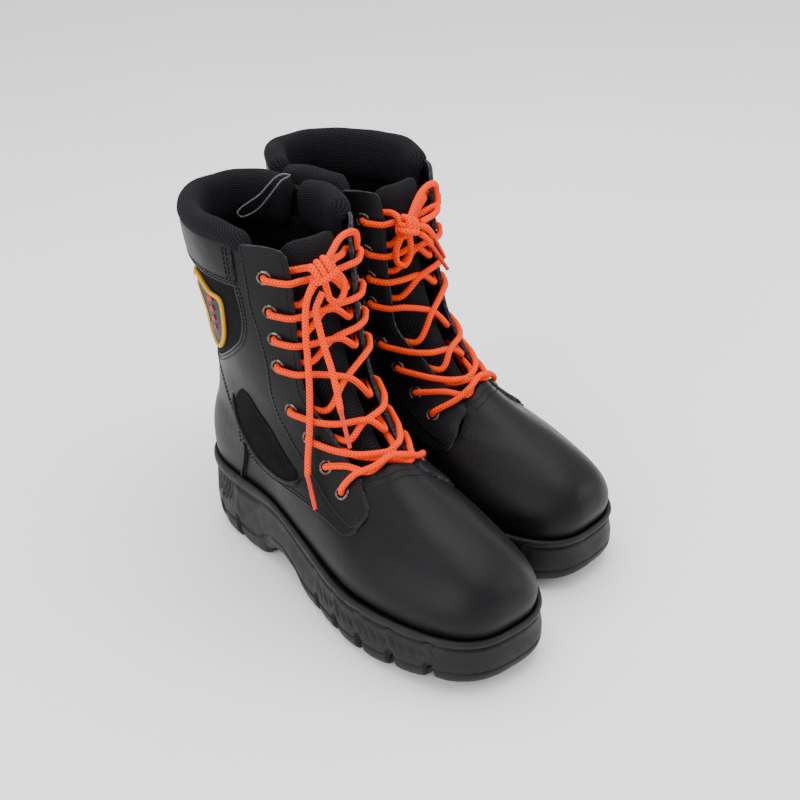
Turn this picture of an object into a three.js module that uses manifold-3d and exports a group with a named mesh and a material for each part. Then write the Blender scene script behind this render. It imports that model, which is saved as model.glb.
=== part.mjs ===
// A pair of laced and side-zipped leather fire boots, in millimetres, +Z up, toes toward -Y.
// Each boot is built once as a right boot in its own frame: x runs from the outer side (-) to the
// inner side (+), s runs forward from the back of the heel, z runs up from the ground.
// The left boot is the same boot mirrored.
import * as THREE from 'three';
import { mergeVertices } from 'three/addons/utils/BufferGeometryUtils.js';
import Module from 'manifold-3d';

const wasm = await Module();
wasm.setup();

// ---- driving dimensions ------------------------------------------------------------------
const UPPER_LENGTH = 304;        // back of heel to tip of toe, without the sole's rim
const UPPER_WIDTH = 105;         // across the ball of the foot
const SHAFT_HEIGHT = 254;        // ground to the top of the collar
const LEATHER = 2;               // main leather
const LINING = 1.2;              // textile lining
const STIFFENER = 1.8;           // toe cap and heel stiffener, between leather and lining
const FIT = 0.3;                 // gap between two pieces that touch
const FABRIC_RECESS = 0.6;       // woven panel below the leather around it
const BADGE = 1.8;               // badge thickness
const COLLAR_PAD = 13;           // collar padding, from the outer face inward
const TONGUE = 4;
const TONGUE_DEPTH = 11.6;        // tongue's face below the facings' outer face
const LACE = 4.4;                // lace diameter
const AGLET = 3;                 // aglet diameter
const TIE_CORD = 1.2;            // thin cord loop at the right boot's zip
const EYELET_HOLE = 6;
const EYELET_RIM = 10.4;
const EYELET_WALL = 0.8;
const TAPE = 0.7;                // reinforcing tape behind the eyelets
const TAPE_WIDTH = 10;
const TAPE_SINK = 0.8;           // tape behind the back of the leather
const SOLE_FLARE = 5.5;          // sole beyond the upper
const RAND_FOREFOOT = 41;        // top of the sole's rim at the forefoot
const RAND_HEEL = 58;            // top of the sole's rim at arch and heel
const TOE_SPRING = 9;
const GROOVE_WIDTH = 5;          // grooves between the tread lugs
const GROOVE_DEPTH = 5;
const FOOTBED = 5;
const INSOLE_BOARD = 2.5;
const ZIP_HALF_GAP = 5.3;        // leather edge to the zip's middle
const ZIP_TAPE = 1;
const TEETH_WIDTH = 2;
const TEETH_HEIGHT = 2.2;
const SLIDER = { width: 8, length: 12, plate: 1.8 };
const PULLER = { width: 4.6, length: 22, thick: 1.2 };
const POST = 1.6;                // post that the puller hangs on
const LEFT_BOOT = { x: 104.5, y: 42, turn: 7.5 };   // left boot from the right one, degrees outward

// ---- the last: sections up the boot ------------------------------------------------------
// Each section is a nearly level slice, on the outer face of the leather: its front and back
// ends [s, z], how square its ends are, its half widths at five places from back to front on the
// outer and the inner side, and how far the toe turns inward. Pattern size; grade() resizes it.
const PATTERN = { length: 304, width: 105, height: 254 };
const SECTIONS = [
  { front: [300, 36], back: [9, 50], square: 3.0, toe: 6,
    out: [46, 39, 44, 52, 51], inn: [45, 34, 35, 48, 53] },
  { front: [304, 54], back: [5, 64], square: 3.0, toe: 6,
    out: [46, 40, 46, 53, 50], inn: [46, 37, 39, 50, 52] },
  { front: [297, 71], back: [3, 78], square: 2.8, toe: 5,
    out: [46, 40, 44, 47, 40], inn: [46, 39, 41, 46, 42] },
  { front: [273, 84], back: [4, 91], square: 2.6, toe: 4,
    out: [44, 40, 41, 38, 31], inn: [44, 39, 40, 38, 33] },
  { front: [240, 94], back: [7, 104], square: 2.4, toe: 3,
    out: [40, 39, 38, 33, 26], inn: [40, 38, 38, 33, 27] },
  { front: [207, 107], back: [10, 118], square: 2.3, toe: 2,
    out: [38, 38, 37, 32, 25], inn: [38, 37, 37, 32, 25] },
  { front: [178, 129], back: [13, 134], square: 2.3, toe: 1,
    out: [36, 37, 37, 34, 29], inn: [36, 36, 37, 34, 29] },
  { front: [158, 155], back: [14, 154], square: 2.3, toe: 0,
    out: [35, 38, 40, 38, 34], inn: [35, 38, 40, 38, 34] },
  { front: [146, 185], back: [12, 181], square: 2.3, toe: 0,
    out: [37, 41, 44, 43, 39], inn: [36, 40, 42, 42, 38] },
  { front: [141, 218], back: [8, 215], square: 2.4, toe: 0,
    out: [40, 45, 48, 47, 43], inn: [38, 42, 45, 44, 41] },
  { front: [138, 250], back: [5, 254], square: 2.4, toe: 0,
    out: [43, 49, 52, 50, 46], inn: [40, 45, 47, 46, 43] },
];
const WIDTH_STATIONS = [0, 0.1, 0.3, 0.5, 0.7, 0.9, 1];
const TOP = SECTIONS.length - 1;
const LEVELS = [0, 1, 2, 3, 4, 5, 6, 7, 8, TOP];
const HALF = 10;                 // faces from the front to the back on each side

const GRADE_X = UPPER_WIDTH / PATTERN.width;
const GRADE_S = UPPER_LENGTH / PATTERN.length;
const GRADE_Z = SHAFT_HEIGHT / PATTERN.height;
const grade = ([s, z]) => [s * GRADE_S, z * GRADE_Z];

// A point of the boot's own frame in the boot's group: toes toward -Y.
const HEEL_Y = 150;
const place = (x, s, z) => new THREE.Vector3(x, HEEL_Y - s, z);

// ---- outer pattern lines, [s, z] on the side of the boot, pattern size ---------------------
const TOPLINE = 246;
const LINING_TOP = 222;
const THROAT = [[209, 80], [206, 84], [204, 92], [202, 96], [196, 100], [192, 103]];
const VAMP_EDGE = [[70, 40], [72, 56], [80, 84], [92, 78], [112, 77], [140, 79], [164, 79], [183, 78],
  [199, 76], [206, 77], ...THROAT, [230, 150], [330, 150], [330, 20], [70, 20]];
const COUNTER_EDGE = [[-20, 30], [-20, 141], [12, 141], [30, 139], [44, 132], [57, 117], [66, 108], [77, 95],
  [80, 87], [79, 80], [71, 50], [70, 30]];
const WINDOW_EDGE = [[-20, 218], [101, 216], [102, 200], [101, 188], [96, 177], [85, 167], [67, 155],
  [44, 141], [30, 139], [12, 141], [-20, 141]];
const BAND_EDGE = [[-20, 218], [101, 216], [102, 262], [-20, 262]];
const INSERT_EDGE = [[78, 130], [83, 133], [90, 132], [101, 123], [113, 115], [132, 100], [144, 94],
  [145, 90], [140, 88], [127, 85], [108, 85], [91, 89], [78, 96], [71, 107], [70, 120]];
const FACING_BACK = [[110, 262], [110, 205], [113, 186], [116, 162], [116, 141], [121, 126], [129, 116],
  [143, 104], [157, 96], [175, 88], [191, 83], [201, 81], ...THROAT, [230, 150], [230, 262]];
const BADGE_EDGE = [[56, 213], [73, 205], [85, 203], [84, 186], [76, 169], [56, 156], [36, 169], [28, 186],
  [27, 203], [39, 205]];
const BACK_STRAP = 8;            // leather strap up the back, from the middle
// The opening over the instep, [x, z] seen from the front.
const OPENING_SIDE = [[18, 103], [19, 117], [20, 127], [23, 137], [25, 148], [24, 168], [23, 203],
  [23, 228], [24, 239], [28, 248], [28, 275]];
const OPENING_FOOT = [[-10, 108], [0, 111], [10, 108]];
const THROAT_NOTCH = [[-18, 90], [18, 90], [18, 118], [-18, 118]];
const LOWEST_EDGE = 114;         // the laces clear the foot of the opening
const EYELETS = [[122, 226], [123, 203], [124, 184], [125, 165], [133, 135], [147, 119], [164, 104],
  [183, 94]];
const ZIP = { top: [50, 243], bottom: [57, 140] };
const TOE_CAP_FROM = 238;
const STIFFENER_EDGE = [[-20, 30], [-20, 112], [40, 108], [62, 90], [66, 30]];
const ARCH = [[93, -1], [97, 8], [108, 15], [125, 17], [142, 12], [153, -1]];
const HEEL_GROOVES = [40, 64];
const FOREFOOT_GROOVES = [174, 198, 222, 248, 274];
const TREAD_LINE = [[-20, 17], [85, 17], [115, 23], [140, 20], [165, 13], [230, 13], [300, 21], [330, 24]];
const FLOOR_LINE = [[-20, 34], [80, 34], [130, 31], [190, 25], [250, 26], [330, 31]];

// ---- small mathematics -----------------------------------------------------------------------
function blend(xs, ys, x) {
  const last = xs.length - 1;
  let i = 0;
  while (i < last - 1 && x > xs[i + 1]) i += 1;
  const span = xs[i + 1] - xs[i];
  const u = (x - xs[i]) / span;
  const slope = (k) => {
    const a = Math.max(k - 1, 0);
    const b = Math.min(k + 1, last);
    return (ys[b] - ys[a]) / (xs[b] - xs[a]);
  };
  const m0 = slope(i) * span;
  const m1 = slope(i + 1) * span;
  return (2 * u ** 3 - 3 * u ** 2 + 1) * ys[i] + (u ** 3 - 2 * u ** 2 + u) * m0
    + (-2 * u ** 3 + 3 * u ** 2) * ys[i + 1] + (u ** 3 - u ** 2) * m1;
}

const smoothstep = (v) => {
  const u = Math.min(Math.max(v, 0), 1);
  return u * u * (3 - 2 * u);
};

const SECTION_NUMBERS = SECTIONS.map((_, i) => i);
const atLevel = (read, level) => blend(SECTION_NUMBERS, SECTIONS.map(read), level);

// One side of a slice, from the front to the back, as evenly spaced [x, s, z].
function halfSlice(level, side) {
  const front = [atLevel((c) => c.front[0], level), atLevel((c) => c.front[1], level)];
  const back = [atLevel((c) => c.back[0], level), atLevel((c) => c.back[1], level)];
  const power = atLevel((c) => c.square, level);
  const toe = atLevel((c) => c.toe, level);
  const widths = [0, 1, 2, 3, 4].map((k) => atLevel((c) => (side < 0 ? c.out[k] : c.inn[k]), level));
  const stations = [widths[0], ...widths, widths[4]];
  const FINE = 360;
  const fine = [];
  for (let i = 0; i <= FINE; i += 1) {
    const u = Math.cos(Math.PI * i / FINE);
    const c = (1 + u) / 2;
    const half = blend(WIDTH_STATIONS, stations, c) * (1 - Math.abs(u) ** power) ** (1 / power);
    const [s, z] = grade([back[0] + (front[0] - back[0]) * c, back[1] + (front[1] - back[1]) * c]);
    fine.push([(side * half + toe * c * c) * GRADE_X, s, z]);
  }
  const run = [0];
  for (let i = 1; i <= FINE; i += 1) {
    run.push(run[i - 1] + Math.hypot(...fine[i].map((v, k) => v - fine[i - 1][k])));
  }
  const points = [];
  let at = 0;
  for (let i = 0; i <= HALF; i += 1) {
    const goal = run[FINE] * i / HALF;
    while (at < FINE - 1 && run[at + 1] < goal) at += 1;
    const f = (goal - run[at]) / (run[at + 1] - run[at]);
    points.push(fine[at].map((v, k) => v + (fine[at + 1][k] - v) * f));
  }
  return points;
}

function slice(level) {
  const outer = halfSlice(level, -1);
  const inner = halfSlice(level, 1);
  const loop = [...outer, ...inner.slice(1, -1).reverse()];
  return loop.map((p) => place(...p));
}

const AROUND = 2 * HALF;
const SLICES = LEVELS.map(slice);
const NORMALS = SLICES.map((ring, i) => ring.map((_, j) => {
  const up = SLICES[Math.min(i + 1, LEVELS.length - 1)][j].clone().sub(SLICES[Math.max(i - 1, 0)][j]);
  const along = ring[(j + 1) % AROUND].clone().sub(ring[(j + AROUND - 1) % AROUND]);
  const normal = up.cross(along).normalize();
  if (i === 0 || i === LEVELS.length - 1) {
    const a = ring[0].clone().sub(ring[HALF]);
    const level = new THREE.Vector3(0, -a.z, a.y).normalize();
    normal.addScaledVector(level, -normal.dot(level)).normalize();
  }
  return normal;
}));

const offsetSlice = (i, offset) => SLICES[i].map((p, j) => p.clone().addScaledVector(NORMALS[i][j], offset));

// ---- solids ------------------------------------------------------------------------------------
function signedVolume(position, index) {
  const corner = [new THREE.Vector3(), new THREE.Vector3(), new THREE.Vector3()];
  let volume = 0;
  for (let i = 0; i < index.length; i += 3) {
    corner.forEach((v, k) => v.fromBufferAttribute(position, index[i + k]));
    volume += corner[0].dot(corner[1].clone().cross(corner[2])) / 6;
  }
  return volume;
}

function toSolid(geometry) {
  geometry.deleteAttribute('normal');
  geometry.deleteAttribute('uv');
  const merged = mergeVertices(geometry, 1e-4);
  const triangles = new Uint32Array(merged.index.array);
  if (signedVolume(merged.attributes.position, triangles) < 0) triangles.reverse();
  const mesh = new wasm.Mesh({
    numProp: 3,
    vertProperties: new Float32Array(merged.attributes.position.array),
    triVerts: triangles,
  });
  mesh.merge();
  return new wasm.Manifold(mesh);
}

const SLIVER = 0.08;             // faces narrower than this are left from cuts and are dropped

function toGeometry(solid) {
  const mesh = solid.asOriginal().simplify(SLIVER).getMesh();
  const geometry = new THREE.BufferGeometry();
  geometry.setAttribute('position', new THREE.BufferAttribute(new Float32Array(mesh.vertProperties), 3));
  geometry.setIndex(new THREE.BufferAttribute(new Uint32Array(mesh.triVerts), 1));
  return geometry;
}

// A closed body through a stack of rings that all have the same number of points, lowest first.
function loft(rings) {
  const count = rings[0].length;
  const centre = (ring) => ring.reduce((sum, p) => sum.add(p), new THREE.Vector3()).divideScalar(count);
  const points = [...rings.flat(), centre(rings[0]), centre(rings[rings.length - 1])];
  const bottom = points.length - 2;
  const top = points.length - 1;
  const faces = [];
  for (let j = 0; j < count; j += 1) {
    const k = (j + 1) % count;
    for (let i = 0; i < rings.length - 1; i += 1) {
      const a = i * count;
      const b = a + count;
      faces.push(a + j, a + k, b + k, a + j, b + k, b + j);
    }
    const last = (rings.length - 1) * count;
    faces.push(bottom, k, j, top, last + j, last + k);
  }
  const geometry = new THREE.BufferGeometry();
  geometry.setAttribute('position', new THREE.Float32BufferAttribute(points.flatMap((p) => p.toArray()), 3));
  geometry.setIndex(faces);
  return toSolid(geometry);
}

const shifted = (ring, dz) => ring.map((p) => p.clone().add(new THREE.Vector3(0, 0, dz)));

// The boot's form, grown or shrunk, between two of LEVELS, with its ends moved by reach.
function form(offset, from, to, reach = 0) {
  const rings = [];
  for (let i = from; i <= to; i += 1) rings.push(offsetSlice(i, offset));
  if (reach !== 0) {
    rings.unshift(shifted(rings[0], -reach));
    rings.push(shifted(rings[rings.length - 1], reach));
  }
  return loft(rings);
}

const LAST_RING = LEVELS.length - 1;
const END_REACH = 4;

// A skin of the form: everything between two offsets from the outer face of the leather.
const skin = (inner, outer, from = 0, to = LAST_RING) =>
  form(outer, from, to).subtract(form(inner, from, to, END_REACH));

const REACH_X = 95;

const DOWN_SHAPE = {
  side: new THREE.Matrix4().makeBasis(
    new THREE.Vector3(0, -1, 0),
    new THREE.Vector3(0, 0, 1),
    new THREE.Vector3(-1, 0, 0),
  ),
  front: new THREE.Matrix4().makeBasis(
    new THREE.Vector3(1, 0, 0),
    new THREE.Vector3(0, 0, 1),
    new THREE.Vector3(0, -1, 0),
  ),
};

function prism(points, depth, turn, x, y) {
  const shape = new THREE.Shape(points.map(([u, v]) => new THREE.Vector2(u, v)));
  const geometry = new THREE.ExtrudeGeometry(shape, { depth, bevelEnabled: false, steps: 1 });
  geometry.applyMatrix4(turn);
  geometry.translate(x, y, 0);
  return toSolid(geometry);
}

// An outline of [s, z] points cut through the boot from x1 to x2.
const sidePrism = (points, x1 = -REACH_X, x2 = REACH_X) =>
  prism(points, x2 - x1, DOWN_SHAPE.side, x2, HEEL_Y);

// An outline of [x, z] points cut along the boot from s1 to s2.
const frontPrism = (points, s1, s2) => prism(points, s2 - s1, DOWN_SHAPE.front, 0, HEEL_Y - s1);

// The outline moved outward by a distance, with its corners kept.
function grow(points, distance) {
  const count = points.length;
  let area = 0;
  for (let i = 0; i < count; i += 1) {
    const [a, b] = [points[i], points[(i + 1) % count]];
    area += a[0] * b[1] - a[1] * b[0];
  }
  const turn = Math.sign(area);
  return points.map((p, i) => {
    const before = points[(i + count - 1) % count];
    const after = points[(i + 1) % count];
    const d1 = new THREE.Vector2(p[0] - before[0], p[1] - before[1]).normalize();
    const d2 = new THREE.Vector2(after[0] - p[0], after[1] - p[1]).normalize();
    const n1 = new THREE.Vector2(d1.y, -d1.x).multiplyScalar(turn);
    const n2 = new THREE.Vector2(d2.y, -d2.x).multiplyScalar(turn);
    const mitre = n1.clone().add(n2).divideScalar(1 + n1.dot(n2));
    if (mitre.length() > 2) mitre.setLength(2);
    return [p[0] + mitre.x * distance, p[1] + mitre.y * distance];
  });
}

const gradedSide = (points) => points.map(grade);
const zone = (points, x1, x2, growth = 0) => sidePrism(grow(gradedSide(points), growth), x1, x2);

// ---- finding places on the skin ---------------------------------------------------------------
// The triangle of the skin that covers [u, v] in a view, as a point with its outward normal.
function findOnSkin(u, v, read, columns) {
  let found = null;
  for (let i = 0; i < LAST_RING; i += 1) {
    for (const j of columns) {
      const k = (j + 1) % AROUND;
      const corners = [SLICES[i][j], SLICES[i][k], SLICES[i + 1][k], SLICES[i + 1][j]];
      for (const [a, b, c] of [[corners[0], corners[1], corners[2]], [corners[0], corners[2], corners[3]]]) {
        const [ua, va] = read(a);
        const [ub, vb] = read(b);
        const [uc, vc] = read(c);
        const area = (ub - ua) * (vc - va) - (uc - ua) * (vb - va);
        const wb = ((u - ua) * (vc - va) - (uc - ua) * (v - va)) / area;
        const wc = ((ub - ua) * (v - va) - (u - ua) * (vb - va)) / area;
        if (wb < -1e-6 || wc < -1e-6 || wb + wc > 1 + 1e-6) continue;
        const point = a.clone().addScaledVector(b.clone().sub(a), wb).addScaledVector(c.clone().sub(a), wc);
        const normal = c.clone().sub(a).cross(b.clone().sub(a)).normalize();
        if (found === null || point.y < found.point.y) found = { point, normal };
      }
    }
  }
  return found;
}

const OUTER_COLUMNS = Array.from({ length: HALF }, (_, j) => j);
const INNER_COLUMNS = OUTER_COLUMNS.map((j) => j + HALF);
const sideView = (p) => [HEEL_Y - p.y, p.z];
const frontView = (p) => [p.x, p.z];

const onSide = (side, s, z) =>
  findOnSkin(...grade([s, z]), sideView, side < 0 ? OUTER_COLUMNS : INNER_COLUMNS);
const onFront = (x, z) => findOnSkin(x, z * GRADE_Z, frontView, [...OUTER_COLUMNS, ...INNER_COLUMNS]);
const lift = (spot, distance) => spot.point.clone().addScaledVector(spot.normal, distance);

// A frame that stands on the skin: Z outward, Y up the boot.
function standOn(spot, distance = 0) {
  const up = new THREE.Vector3(0, 0, 1);
  up.addScaledVector(spot.normal, -up.dot(spot.normal)).normalize();
  const across = up.clone().cross(spot.normal);
  return new THREE.Matrix4().makeBasis(across, up, spot.normal).setPosition(lift(spot, distance));
}

const EYELET_SIDES = 6;

// A round plug along the frame's Z, from z1 to z2.
function plug(frame, diameter, z1, z2, sides = EYELET_SIDES) {
  const geometry = new THREE.CylinderGeometry(diameter / 2, diameter / 2, z2 - z1, sides);
  geometry.rotateX(Math.PI / 2);
  geometry.translate(0, 0, (z1 + z2) / 2);
  geometry.applyMatrix4(frame);
  return toSolid(geometry);
}

function block(frame, width, height, thick, x = 0, y = 0, z = 0) {
  const geometry = new THREE.BoxGeometry(width, height, thick);
  geometry.translate(x, y, z);
  geometry.applyMatrix4(frame);
  return toSolid(geometry);
}

function tube(points, diameter, sides, steps) {
  const section = new THREE.Shape();
  for (let i = 0; i < sides; i += 1) {
    const a = 2 * Math.PI * i / sides;
    const [x, y] = [diameter / 2 * Math.cos(a), diameter / 2 * Math.sin(a)];
    if (i === 0) section.moveTo(x, y);
    else section.lineTo(x, y);
  }
  const path = new THREE.CatmullRomCurve3(points, false, 'centripetal');
  return toSolid(new THREE.ExtrudeGeometry(section, { steps, bevelEnabled: false, extrudePath: path }));
}

const joined = (solids) => solids.reduce((sum, solid) => sum.add(solid));

// ---- colours ------------------------------------------------------------------------------------
const FINISH = {
  rubber: { color: '#1b1b1d', roughness: 0.7, metalness: 0 },
  leather: { color: '#222326', roughness: 0.42, metalness: 0 },
  nubuck: { color: '#1c1c1e', roughness: 0.85, metalness: 0 },
  fabric: { color: '#17171a', roughness: 0.9, metalness: 0 },
  padding: { color: '#141416', roughness: 0.95, metalness: 0 },
  board: { color: '#c9c2a8', roughness: 0.9, metalness: 0 },
  composite: { color: '#6f6a60', roughness: 0.6, metalness: 0 },
  foam: { color: '#2a2b30', roughness: 0.95, metalness: 0 },
  gunmetal: { color: '#55504f', roughness: 0.3, metalness: 1 },
  lace: { color: '#f4511e', roughness: 0.75, metalness: 0 },
  tip: { color: '#e0452a', roughness: 0.35, metalness: 0 },
  badge: { color: '#e0b92c', roughness: 0.7, metalness: 0 },
  tie: { color: '#3a3a3c', roughness: 0.5, metalness: 0 },
};

// ---- the upper -----------------------------------------------------------------------------------
// Layers behind the leather: the stiff parts, then the lining.
const LEATHER_BACK = -LEATHER - FIT;
const STIFFENER_BACK = LEATHER_BACK - STIFFENER;
const LINING_OUT = STIFFENER_BACK - FIT;
const LINING_IN = LINING_OUT - LINING;

const opening = () => {
  const right = OPENING_SIDE.map(([x, z]) => [x * GRADE_X, z * GRADE_Z]);
  const left = right.map(([x, z]) => [-x, z]).reverse();
  const foot = OPENING_FOOT.map(([x, z]) => [x * GRADE_X, z * GRADE_Z]);
  return frontPrism([...left, ...foot, ...right], 70 * GRADE_S, 320 * GRADE_S);
};

function edgeHalfWidth(z) {
  const zs = OPENING_SIDE.map((p) => p[1]);
  const xs = OPENING_SIDE.map((p) => p[0]);
  return blend(zs, xs, Math.min(Math.max(z, zs[0]), zs[zs.length - 1])) * GRADE_X;
}

// The zip runs straight up the inner side: Y up the zip, Z outward.
const ZIP_SINK = 0.8;
const zipTop = lift(onSide(1, ...ZIP.top), -ZIP_SINK);
const zipBottom = lift(onSide(1, ...ZIP.bottom), -ZIP_SINK);
const zipUp = zipTop.clone().sub(zipBottom).normalize();
const ZIP_LENGTH = zipTop.distanceTo(zipBottom);
const zipFrame = (() => {
  const outward = onSide(1, (ZIP.top[0] + ZIP.bottom[0]) / 2, (ZIP.top[1] + ZIP.bottom[1]) / 2).normal;
  outward.addScaledVector(zipUp, -outward.dot(zipUp)).normalize();
  return new THREE.Matrix4().makeBasis(zipUp.clone().cross(outward), zipUp, outward).setPosition(zipBottom);
})();
const zipLine = (z) => {
  const f = (z - ZIP.bottom[1]) / (ZIP.top[1] - ZIP.bottom[1]);
  return ZIP.bottom[0] + (ZIP.top[0] - ZIP.bottom[0]) * f;
};
const zipStrip = (half, low, high) => {
  const at = (z, side) => [zipLine(z / GRADE_Z) * GRADE_S + side * half, z];
  return sidePrism([at(low, -1), at(low, 1), at(high, 1), at(high, -1)], 0, REACH_X);
};

const eyeletSpots = (side) => EYELETS.map(([s, z]) => onSide(side, s, z));

function eyeletHoles(side) {
  const barrel = EYELET_HOLE + 2 * EYELET_WALL + 2 * FIT;
  return joined(eyeletSpots(side).map((spot) => plug(standOn(spot), barrel, -6, 6)));
}

const TAPE_FACE = LEATHER_BACK - TAPE_SINK;
const TAPE_BACK = TAPE_FACE - TAPE;

// The tape follows the skin behind the eyelets, with a station at each eyelet and between them.
function eyeletTape(side) {
  const centre = EYELETS.flatMap((p, i) => {
    if (i === 0) return [p];
    const before = EYELETS[i - 1];
    return [[(p[0] + before[0]) / 2, (p[1] + before[1]) / 2], p];
  });
  const last = centre.length - 1;
  const half = TAPE_WIDTH / 2;
  const rings = centre.map((p, i) => {
    const a = centre[Math.max(i - 1, 0)];
    const b = centre[Math.min(i + 1, last)];
    const run = new THREE.Vector2(b[0] - a[0], b[1] - a[1]).normalize();
    const end = (i === last ? half : 0) - (i === 0 ? half : 0);
    const spots = [-half, 0, half].map((x) =>
      onSide(side, p[0] + run.x * end + run.y * x, p[1] + run.y * end - run.x * x));
    const rear = spots.map((spot) => lift(spot, TAPE_BACK));
    const face = spots.map((spot) => lift(spot, TAPE_FACE)).reverse();
    return [...rear, ...face];
  });
  return loft(rings);
}

function eyeletRow(side) {
  const tape = eyeletTape(side);
  const hole = EYELET_HOLE / 2;
  const rim = EYELET_RIM / 2;
  const barrel = hole + EYELET_WALL;
  const back = TAPE_FACE - TAPE / 2;
  const low = 2 * FIT;
  const top = low + 0.8;
  const profile = [[hole, back], [barrel, back], [barrel, low], [rim, low], [barrel, top], [hole, back]];
  const ring = new THREE.LatheGeometry(profile.map(([r, h]) => new THREE.Vector2(r, h)), EYELET_SIDES);
  ring.rotateX(Math.PI / 2);
  const spots = eyeletSpots(side);
  const bores = joined(spots.map((spot) => plug(standOn(spot), EYELET_HOLE + EYELET_WALL, -6, 6)));
  const rings = spots.map((spot) => toSolid(ring.clone().applyMatrix4(standOn(spot))));
  return joined([tape.subtract(bores), ...rings]);
}

function buildUpper() {
  const pieces = {};
  const leather = skin(-LEATHER, 0).intersect(zone([[-30, 0], [330, 0], [330, TOPLINE], [-30, TOPLINE]]))
    .subtract(opening());
  const outside = [-REACH_X, 0];
  const inside = [0, REACH_X];
  const vampCut = zone(VAMP_EDGE, -REACH_X, REACH_X, FIT);
  const counterCut = zone(COUNTER_EDGE, -REACH_X, REACH_X, FIT);

  pieces.vamp = leather.intersect(zone(VAMP_EDGE));
  pieces.heel_counter = leather.intersect(zone(COUNTER_EDGE)).subtract(vampCut);
  const notch = THROAT_NOTCH.map(([x, z]) => [x * GRADE_X, z * GRADE_Z]);
  const throatCut = frontPrism(notch, 186 * GRADE_S, 320 * GRADE_S);
  const quarters = leather.subtract(vampCut).subtract(counterCut).subtract(throatCut);

  const band = zone(BAND_EDGE, -REACH_X, REACH_X);
  const bandCut = zone(BAND_EDGE, -REACH_X, REACH_X, FIT);
  const zipBand = zipStrip(ZIP_HALF_GAP, (ZIP.bottom[1] - 4) * GRADE_Z, 400);
  const zipForward = zone([[55, 0], [57, 140], [49, 262], [330, 262], [330, 0]], 0, REACH_X);
  pieces.collar_band = quarters.intersect(band).subtract(zipBand).subtract(zipForward);

  const windowReach = [-REACH_X, -BACK_STRAP];
  const windowCut = zone(WINDOW_EDGE, windowReach[0], windowReach[1] + FIT, FIT);
  const outerHalf = sidePrism([[-60, 0], [400, 0], [400, 400], [-60, 400]], ...outside);
  pieces.quarter_lateral = quarters.intersect(outerHalf)
    .subtract(bandCut).subtract(windowCut).subtract(zone(INSERT_EDGE, ...outside, FIT))
    .subtract(sidePrism([[-60, 0], [40, 0], [40, 400], [-60, 400]], -BACK_STRAP - FIT, BACK_STRAP))
    .subtract(eyeletHoles(-1));

  const woven = skin(-LEATHER, -FABRIC_RECESS).subtract(counterCut).subtract(vampCut).subtract(bandCut);
  pieces.back_panel = woven.intersect(zone(WINDOW_EDGE, ...windowReach));
  pieces.side_insert = skin(-LEATHER, -FABRIC_RECESS / 2).intersect(zone(INSERT_EDGE, ...outside));
  pieces.badge = skin(FIT - FABRIC_RECESS, FIT - FABRIC_RECESS + BADGE, 5)
    .intersect(zone(BADGE_EDGE, ...outside));

  const innerLeather = quarters.intersect(
    sidePrism([[-60, 0], [400, 0], [400, 400], [-60, 400]], -BACK_STRAP + FIT, REACH_X))
    .subtract(sidePrism([[45, 0], [400, 0], [400, 400], [45, 400]], -BACK_STRAP, 0))
    .subtract(bandCut).subtract(zipBand);
  const seam = zone([[55 - FIT, 0], [57 - FIT, 140], [57 + FIT, 140], [55 + FIT, 0]], ...inside);
  pieces.quarter_medial_front = quarters.subtract(zipBand)
    .intersect(zipForward).subtract(seam).subtract(eyeletHoles(1));
  pieces.quarter_medial_rear = innerLeather.subtract(zipForward).subtract(seam);

  // lining, and the stiff parts between it and the leather
  const slit = zipStrip(FIT, (ZIP.bottom[1] - 2) * GRADE_Z, 400);
  pieces.lining = skin(LINING_IN, LINING_OUT)
    .intersect(zone([[-30, 0], [330, 0], [330, LINING_TOP], [-30, LINING_TOP]]))
    .subtract(zone(FACING_BACK)).subtract(slit);
  const stiff = skin(STIFFENER_BACK, LEATHER_BACK, 0, 6);
  pieces.toe_cap = stiff.intersect(zone([[TOE_CAP_FROM, 0], [330, 0], [330, 140], [TOE_CAP_FROM, 140]]));
  pieces.heel_stiffener = stiff.intersect(zone(STIFFENER_EDGE));

  // padded collar, with a notch behind the zip
  const padZone = (low) => zone([[-30, low], [111, low], [111, 275], [-30, 275]]);
  const notchDepth = COLLAR_PAD - 3;
  const pad = skin(-COLLAR_PAD, LEATHER_BACK, 7).intersect(padZone(LINING_TOP + FIT))
    .add(skin(-COLLAR_PAD, 0, 7).intersect(padZone(TOPLINE + FIT)));
  pieces.collar_pad = pad.subtract(
    block(zipFrame, 12, 60, notchDepth + 10, 0, ZIP_LENGTH, 5 - notchDepth / 2));

  // tongue under the facings, held at its foot under the vamp
  const tongueHalf = [[34, 124], [34, 188], [24, 208], [22, 244]];
  const tongueFoot = [[-24, 92], [24, 92]];
  const tongueOutline = [...tongueFoot, ...tongueHalf, ...tongueHalf.map(([x, z]) => [-x, z]).reverse()]
    .map(([x, z]) => [x * GRADE_X, z * GRADE_Z]);
  const blade = skin(-TONGUE_DEPTH - TONGUE, -TONGUE_DEPTH, 3)
    .intersect(frontPrism(tongueOutline, 95 * GRADE_S, 217 * GRADE_S));
  const foot = skin(-TONGUE_DEPTH - TONGUE, LINING_IN - FIT, 3)
    .intersect(frontPrism(tongueOutline, 204 * GRADE_S, 217 * GRADE_S));
  pieces.tongue = blade.add(foot);
  pieces.eyelets_lateral = eyeletRow(-1);
  pieces.eyelets_medial = eyeletRow(1);
  return pieces;
}

// ---- the sole ------------------------------------------------------------------------------------
const lineAt = (points, s) => {
  const graded = points.map(([u, z]) => [u * GRADE_S, z]);
  return blend(graded.map((p) => p[0]), graded.map((p) => p[1]), s);
};
const randTop = (s) => {
  const rise = smoothstep((215 * GRADE_S - s) / (110 * GRADE_S));
  return (RAND_FOREFOOT + (RAND_HEEL - RAND_FOREFOOT) * rise) * GRADE_Z;
};
const toeLift = (s) => TOE_SPRING * smoothstep((s - 215 * GRADE_S) / (95 * GRADE_S));

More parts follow.
